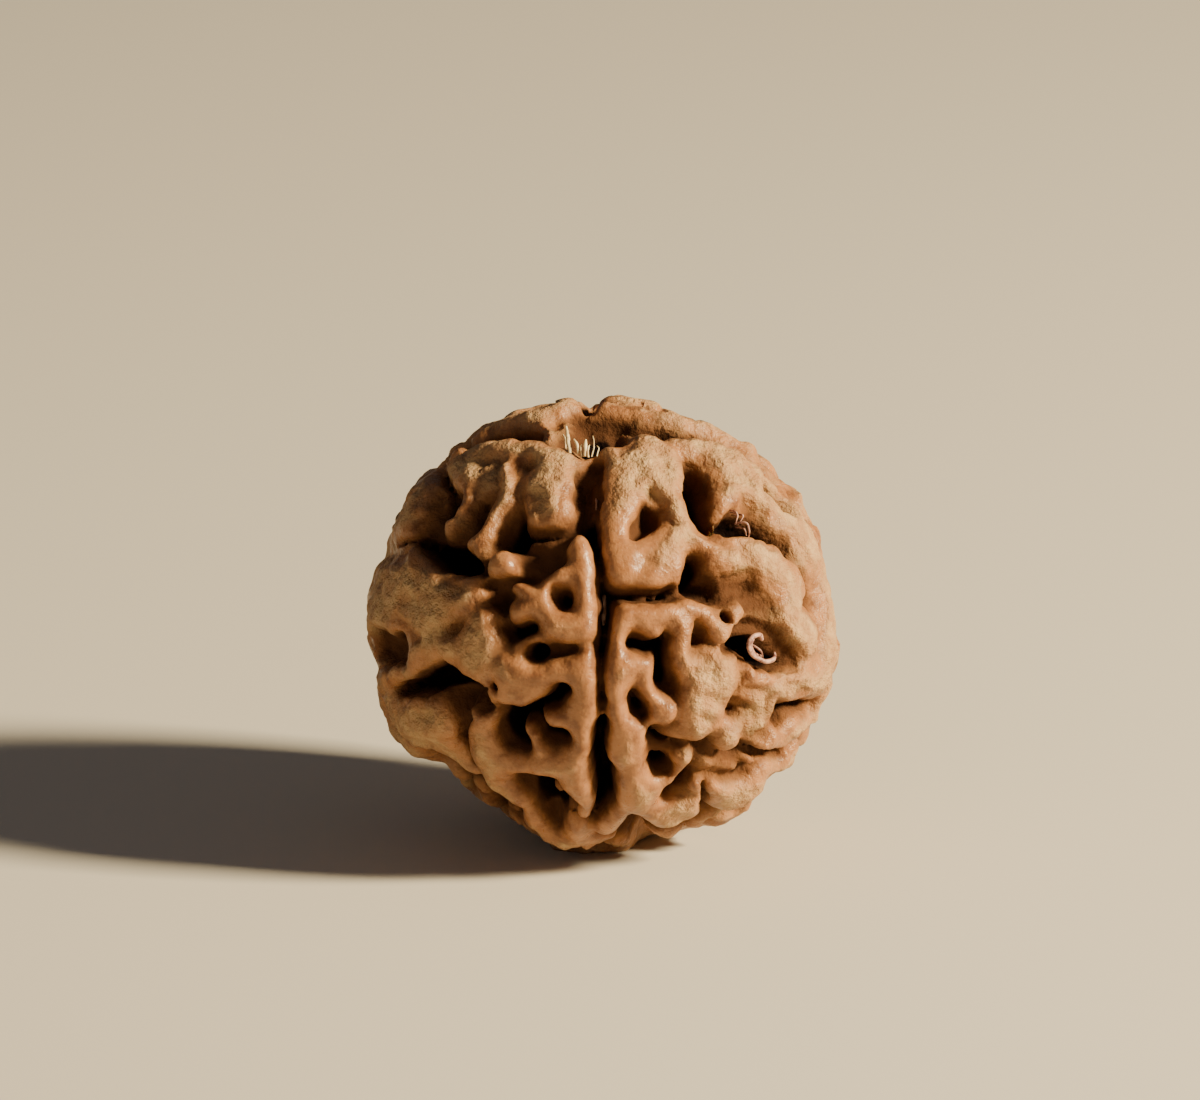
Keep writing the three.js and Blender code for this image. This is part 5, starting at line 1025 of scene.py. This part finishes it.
strandSets = {
    # [x, up, height over the skin] of each fibre seen from the front, and its half width, in mm
    "stemFibres": {
        "colours": ("#EFDDB2", "#C9A878"),
        "strands": [
            ([[-1.66, 8.75, -0.5], [-1.7, 9.2, -0.15], [-1.76, 9.7, 0.0]], 0.11),
            ([[-1.86, 9.0, -0.6], [-1.84, 9.3, -0.3], [-1.95, 9.55, -0.3]], 0.05),
            ([[-1.2, 8.7, -0.5], [-1.25, 8.95, -0.2], [-1.36, 9.15, -0.1]], 0.08),
            ([[-1.02, 8.6, -0.5], [-1.05, 8.85, -0.25], [-1.0, 9.0, -0.2]], 0.05),
            ([[-0.86, 8.6, -0.5], [-0.84, 8.9, -0.15], [-0.8, 9.1, -0.05]], 0.1),
            ([[-0.68, 8.55, -0.5], [-0.7, 8.8, -0.2], [-0.62, 8.95, -0.2]], 0.05),
            ([[-0.5, 8.65, -0.6], [-0.4, 9.05, -0.3], [-0.46, 9.45, -0.2]], 0.035),
            ([[-0.22, 8.6, -0.5], [-0.18, 8.85, -0.3], [-0.25, 9.0, -0.3]], 0.03),
        ],
    },
    "grooveSeam": {
        "colours": ("#B58C74", "#6E4636"),
        "strands": [
            ([[0.2, 2.2, -2.6], [0.08, 1.7, -2.2], [0.12, 1.0, -2.15], [0.05, 0.2, -2.15],
              [0.08, -0.5, -2.15], [-0.02, -1.1, -2.2], [0.0, -1.5, -2.7]], 0.13),
            ([[-0.3, 7.3, -1.6], [-0.28, 6.7, -1.3], [-0.4, 6.1, -1.7]], 0.06),
        ],
    },
    "pitFibres": {
        "colours": ("#C99C8C", "#6A3F38"),
        "strands": [
            ([[6.5, 5.85, -0.6], [6.58, 5.45, -0.1], [6.78, 5.05, -0.5]], 0.045),
            ([[6.6, 5.9, -0.9], [6.72, 5.5, -0.3], [6.85, 5.15, -0.7]], 0.035),
            ([[6.84, 5.7, -0.8], [6.95, 5.4, -0.2], [6.93, 5.1, -0.6]], 0.045),
            ([[6.78, 5.15, -0.6], [6.98, 4.95, 0.0], [7.2, 4.6, -0.1], [7.42, 4.4, -0.5]], 0.05),
            ([[6.95, 5.05, -0.8], [6.98, 4.75, -0.2], [7.18, 4.45, -0.3]], 0.035),
            ([[8.15, -0.7, -0.7], [7.8, -0.48, -0.35], [7.42, -0.55, -0.3], [7.25, -1.0, -0.35],
              [7.5, -1.5, -0.45], [8.0, -1.78, -0.35], [8.45, -1.65, -0.3],
              [8.62, -1.35, -0.5]], 0.12),
            ([[7.95, -0.6, -0.9], [7.6, -0.72, -0.6], [7.52, -1.1, -0.6], [7.75, -1.45, -0.7],
              [8.15, -1.6, -0.7]], 0.1),
            ([[7.75, -1.05, -0.8], [7.95, -1.3, -0.55], [8.05, -1.62, -0.5]], 0.06),
        ],
    },
}


def strandTree(material):
    # half width and frayed ends come in as named inputs, the path as the mesh's own edges
    tree = bpy.data.node_groups.new("strandsAlongEdges", "GeometryNodeTree")
    face = tree.interface
    face.new_socket("Geometry", in_out="INPUT", socket_type="NodeSocketGeometry")
    face.new_socket("Fray Size", in_out="INPUT", socket_type="NodeSocketFloat")
    face.new_socket("Fray Height", in_out="INPUT", socket_type="NodeSocketFloat")
    face.new_socket("Sides", in_out="INPUT", socket_type="NodeSocketInt")
    face.new_socket("Geometry", in_out="OUTPUT", socket_type="NodeSocketGeometry")
    given = tree.nodes.new("NodeGroupInput").outputs
    paths = addNode(tree, "GeometryNodeMeshToCurve", {}, {"Mesh": given["Geometry"]})
    smooth = addNode(tree, "GeometryNodeCurveSplineType", {"spline_type": "CATMULL_ROM"},
                     {"Curve": paths.outputs["Curve"]})
    finer = addNode(tree, "GeometryNodeResampleCurve", {"Count": 22},
                    {"Curve": smooth.outputs["Curve"]})
    where = tree.nodes.new("GeometryNodeInputPosition")
    noise = addNode(tree, "ShaderNodeTexNoise", {"Detail": 2.0},
                    {"Vector": where.outputs[0], "Scale": given["Fray Size"]})
    middle = addNode(tree, "ShaderNodeVectorMath", {"operation": "SUBTRACT", 1: (0.5, 0.5, 0.5)},
                     {0: noise.outputs["Color"]})
    shift = addNode(tree, "ShaderNodeVectorMath", {"operation": "SCALE"},
                    {0: middle.outputs[0], "Scale": given["Fray Height"]})
    moved = addNode(tree, "GeometryNodeSetPosition", {},
                    {"Geometry": finer.outputs["Curve"], "Offset": shift.outputs[0]})
    thick = addNode(tree, "GeometryNodeInputNamedAttribute", {"Name": "halfWidth"})
    sized = addNode(tree, "GeometryNodeSetCurveRadius", {},
                    {"Curve": moved.outputs["Geometry"], "Radius": thick.outputs["Attribute"]})
    ring = addNode(tree, "GeometryNodeCurvePrimitiveCircle", {"Radius": 1.0},
                   {"Resolution": given["Sides"]})
    tubes = addNode(tree, "GeometryNodeCurveToMesh", {"Fill Caps": True},
                    {"Curve": sized.outputs["Curve"], "Profile Curve": ring.outputs["Curve"]})
    if "Scale" in tubes.inputs:  # newer releases take the half width here
        tree.links.new(thick.outputs["Attribute"], tubes.inputs["Scale"])
    real = addNode(tree, "GeometryNodeRealizeInstances", {}, {"Geometry": tubes.outputs["Mesh"]})
    last = addNode(tree, "GeometryNodeSetMaterial", {"Material": material},
                   {"Geometry": real.outputs["Geometry"]})
    done = tree.nodes.new("NodeGroupOutput")
    tree.links.new(last.outputs["Geometry"], done.inputs["Geometry"])
    return tree


strandSettings = {
    "Fray Size": 1400.0,  # noise scale, a metre
    "Fray Height": 0.00016,  # metres
    "Sides": 8,
}
tipTaper = 0.45  # a fibre's end, as a share of its half width


def makeStrands(name, strandSet):
    corners, edges, halves = [], [], []
    for points, halfWidth in strandSet["strands"]:
        for index, (x, up, over) in enumerate(points):
            if index:
                edges.append((len(corners) - 1, len(corners)))
            direction = directionAt(x, up)
            reach = skinAt(direction[None])[0] + over
            corners.append(place(direction * reach))
            taper = 1.0 if index < len(points) - 1 else tipTaper
            halves.append(halfWidth * taper * mm)
    mesh = bpy.data.meshes.new(name)
    mesh.from_pydata([tuple(c) for c in corners], edges, [])
    live = bpy.data.objects.new(name, mesh)
    bpy.context.scene.collection.objects.link(live)
    setAttribute(live, "halfWidth", halves)
    material = strandMaterial(name + "Dry", *strandSet["colours"])
    tree = strandTree(material)
    modifier = live.modifiers.new("strands", "NODES")
    modifier.node_group = tree
    for socket in tree.interface.items_tree:
        if socket.in_out == "INPUT" and socket.name in strandSettings:
            modifier[socket.identifier] = strandSettings[socket.name]
    evaluated = live.evaluated_get(bpy.context.evaluated_depsgraph_get())
    plain = bpy.data.meshes.new_from_object(evaluated)
    live.modifiers.clear()
    live.data = plain
    plain.shade_smooth()
    print(name, "faces", len(plain.polygons))
    return live


shell = makeShell()
shell.data.materials.append(shellMaterial())
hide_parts("seed")
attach(shell, "root")
print("shell done")

for strandName, strandSet in strandSets.items():
    strandPiece = makeStrands(strandName, strandSet)
    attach(strandPiece, "root")
print("fibres done")

photoView = {
    "distance": 0.55,  # metres, as far as a long lens stands
    "pixelsPerMm": 19.83,
    "widthPx": 1200,
    "seedBelowMiddleMm": 3.73,
    "seedRightOfMiddleMm": 0.1,
    "sensorMm": 36,
}


def makeCamera():
    camera = bpy.data.objects.new("photoCamera", bpy.data.cameras.new("photoCamera"))
    bpy.context.scene.collection.objects.link(camera)
    frameWide = photoView["widthPx"] / photoView["pixelsPerMm"]
    camera.data.sensor_width = photoView["sensorMm"]
    camera.data.lens = photoView["sensorMm"] * photoView["distance"] / (frameWide * mm)
    middle = place(np.zeros(3))
    aim = middle + pictureUp * photoView["seedBelowMiddleMm"] * mm
    aim = aim - toRight * photoView["seedRightOfMiddleMm"] * mm
    camera.location = aim + towards * photoView["distance"]
    camera.rotation_euler = (math.radians(90 - seedSize["viewRise"]), 0, 0)
    camera.data.clip_start = 0.01
    bpy.context.scene.camera = camera


def makeLight(name, spot, size, power, colour):
    light = bpy.data.lights.new(name, "AREA")
    light.size = size
    light.energy = power
    light.color = linearColour(colour)[:3]
    lamp = bpy.data.objects.new(name, light)
    lamp.location = spot
    aim = Vector((0, 0, 0.011)) - lamp.location
    lamp.rotation_euler = aim.to_track_quat("-Z", "Y").to_euler()
    bpy.context.scene.collection.objects.link(lamp)


studio = {
    "floorHalf": 2.0,  # metres
    "floor": "#D8D2C6",
    "floorRoughness": 0.9,
    "room": "#D2C8C6",
    "roomStrength": 0.14,
    # place, size, power in watts and colour of each lamp
    "lamps": {
        "keyLight": ((0.49, -0.16, 0.29), 0.09, 12.5, "#FFEABF"),
        "fillLight": ((-0.5, -0.5, 0.3), 0.6, 0.3, "#F2EEE6"),
    },
}


def makeStudio():
    half = studio["floorHalf"]
    corners = [(-half, -half, 0), (half, -half, 0), (half, half, 0), (-half, half, 0)]
    floor = toBlender("paleFloor", np.array(corners), np.array([[0, 1, 2, 3]]))
    material, _, shader = newMaterial("palePaperFloor")
    shader.inputs["Base Color"].default_value = linearColour(studio["floor"])
    shader.inputs["Roughness"].default_value = studio["floorRoughness"]
    floor.data.materials.append(material)
    floor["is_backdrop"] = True
    for name, settings in studio["lamps"].items():
        makeLight(name, *settings)
    world = bpy.data.worlds.new("softRoom")
    world.use_nodes = True
    room = world.node_tree.nodes["Background"]
    room.inputs["Color"].default_value = linearColour(studio["room"])
    room.inputs["Strength"].default_value = studio["roomStrength"]
    bpy.context.scene.world = world


makeCamera()
makeStudio()
print("camera and studio done")

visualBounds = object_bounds()
plain = [[[float(v) for v in corner] for corner in box] for box in (cadBounds, visualBounds)]
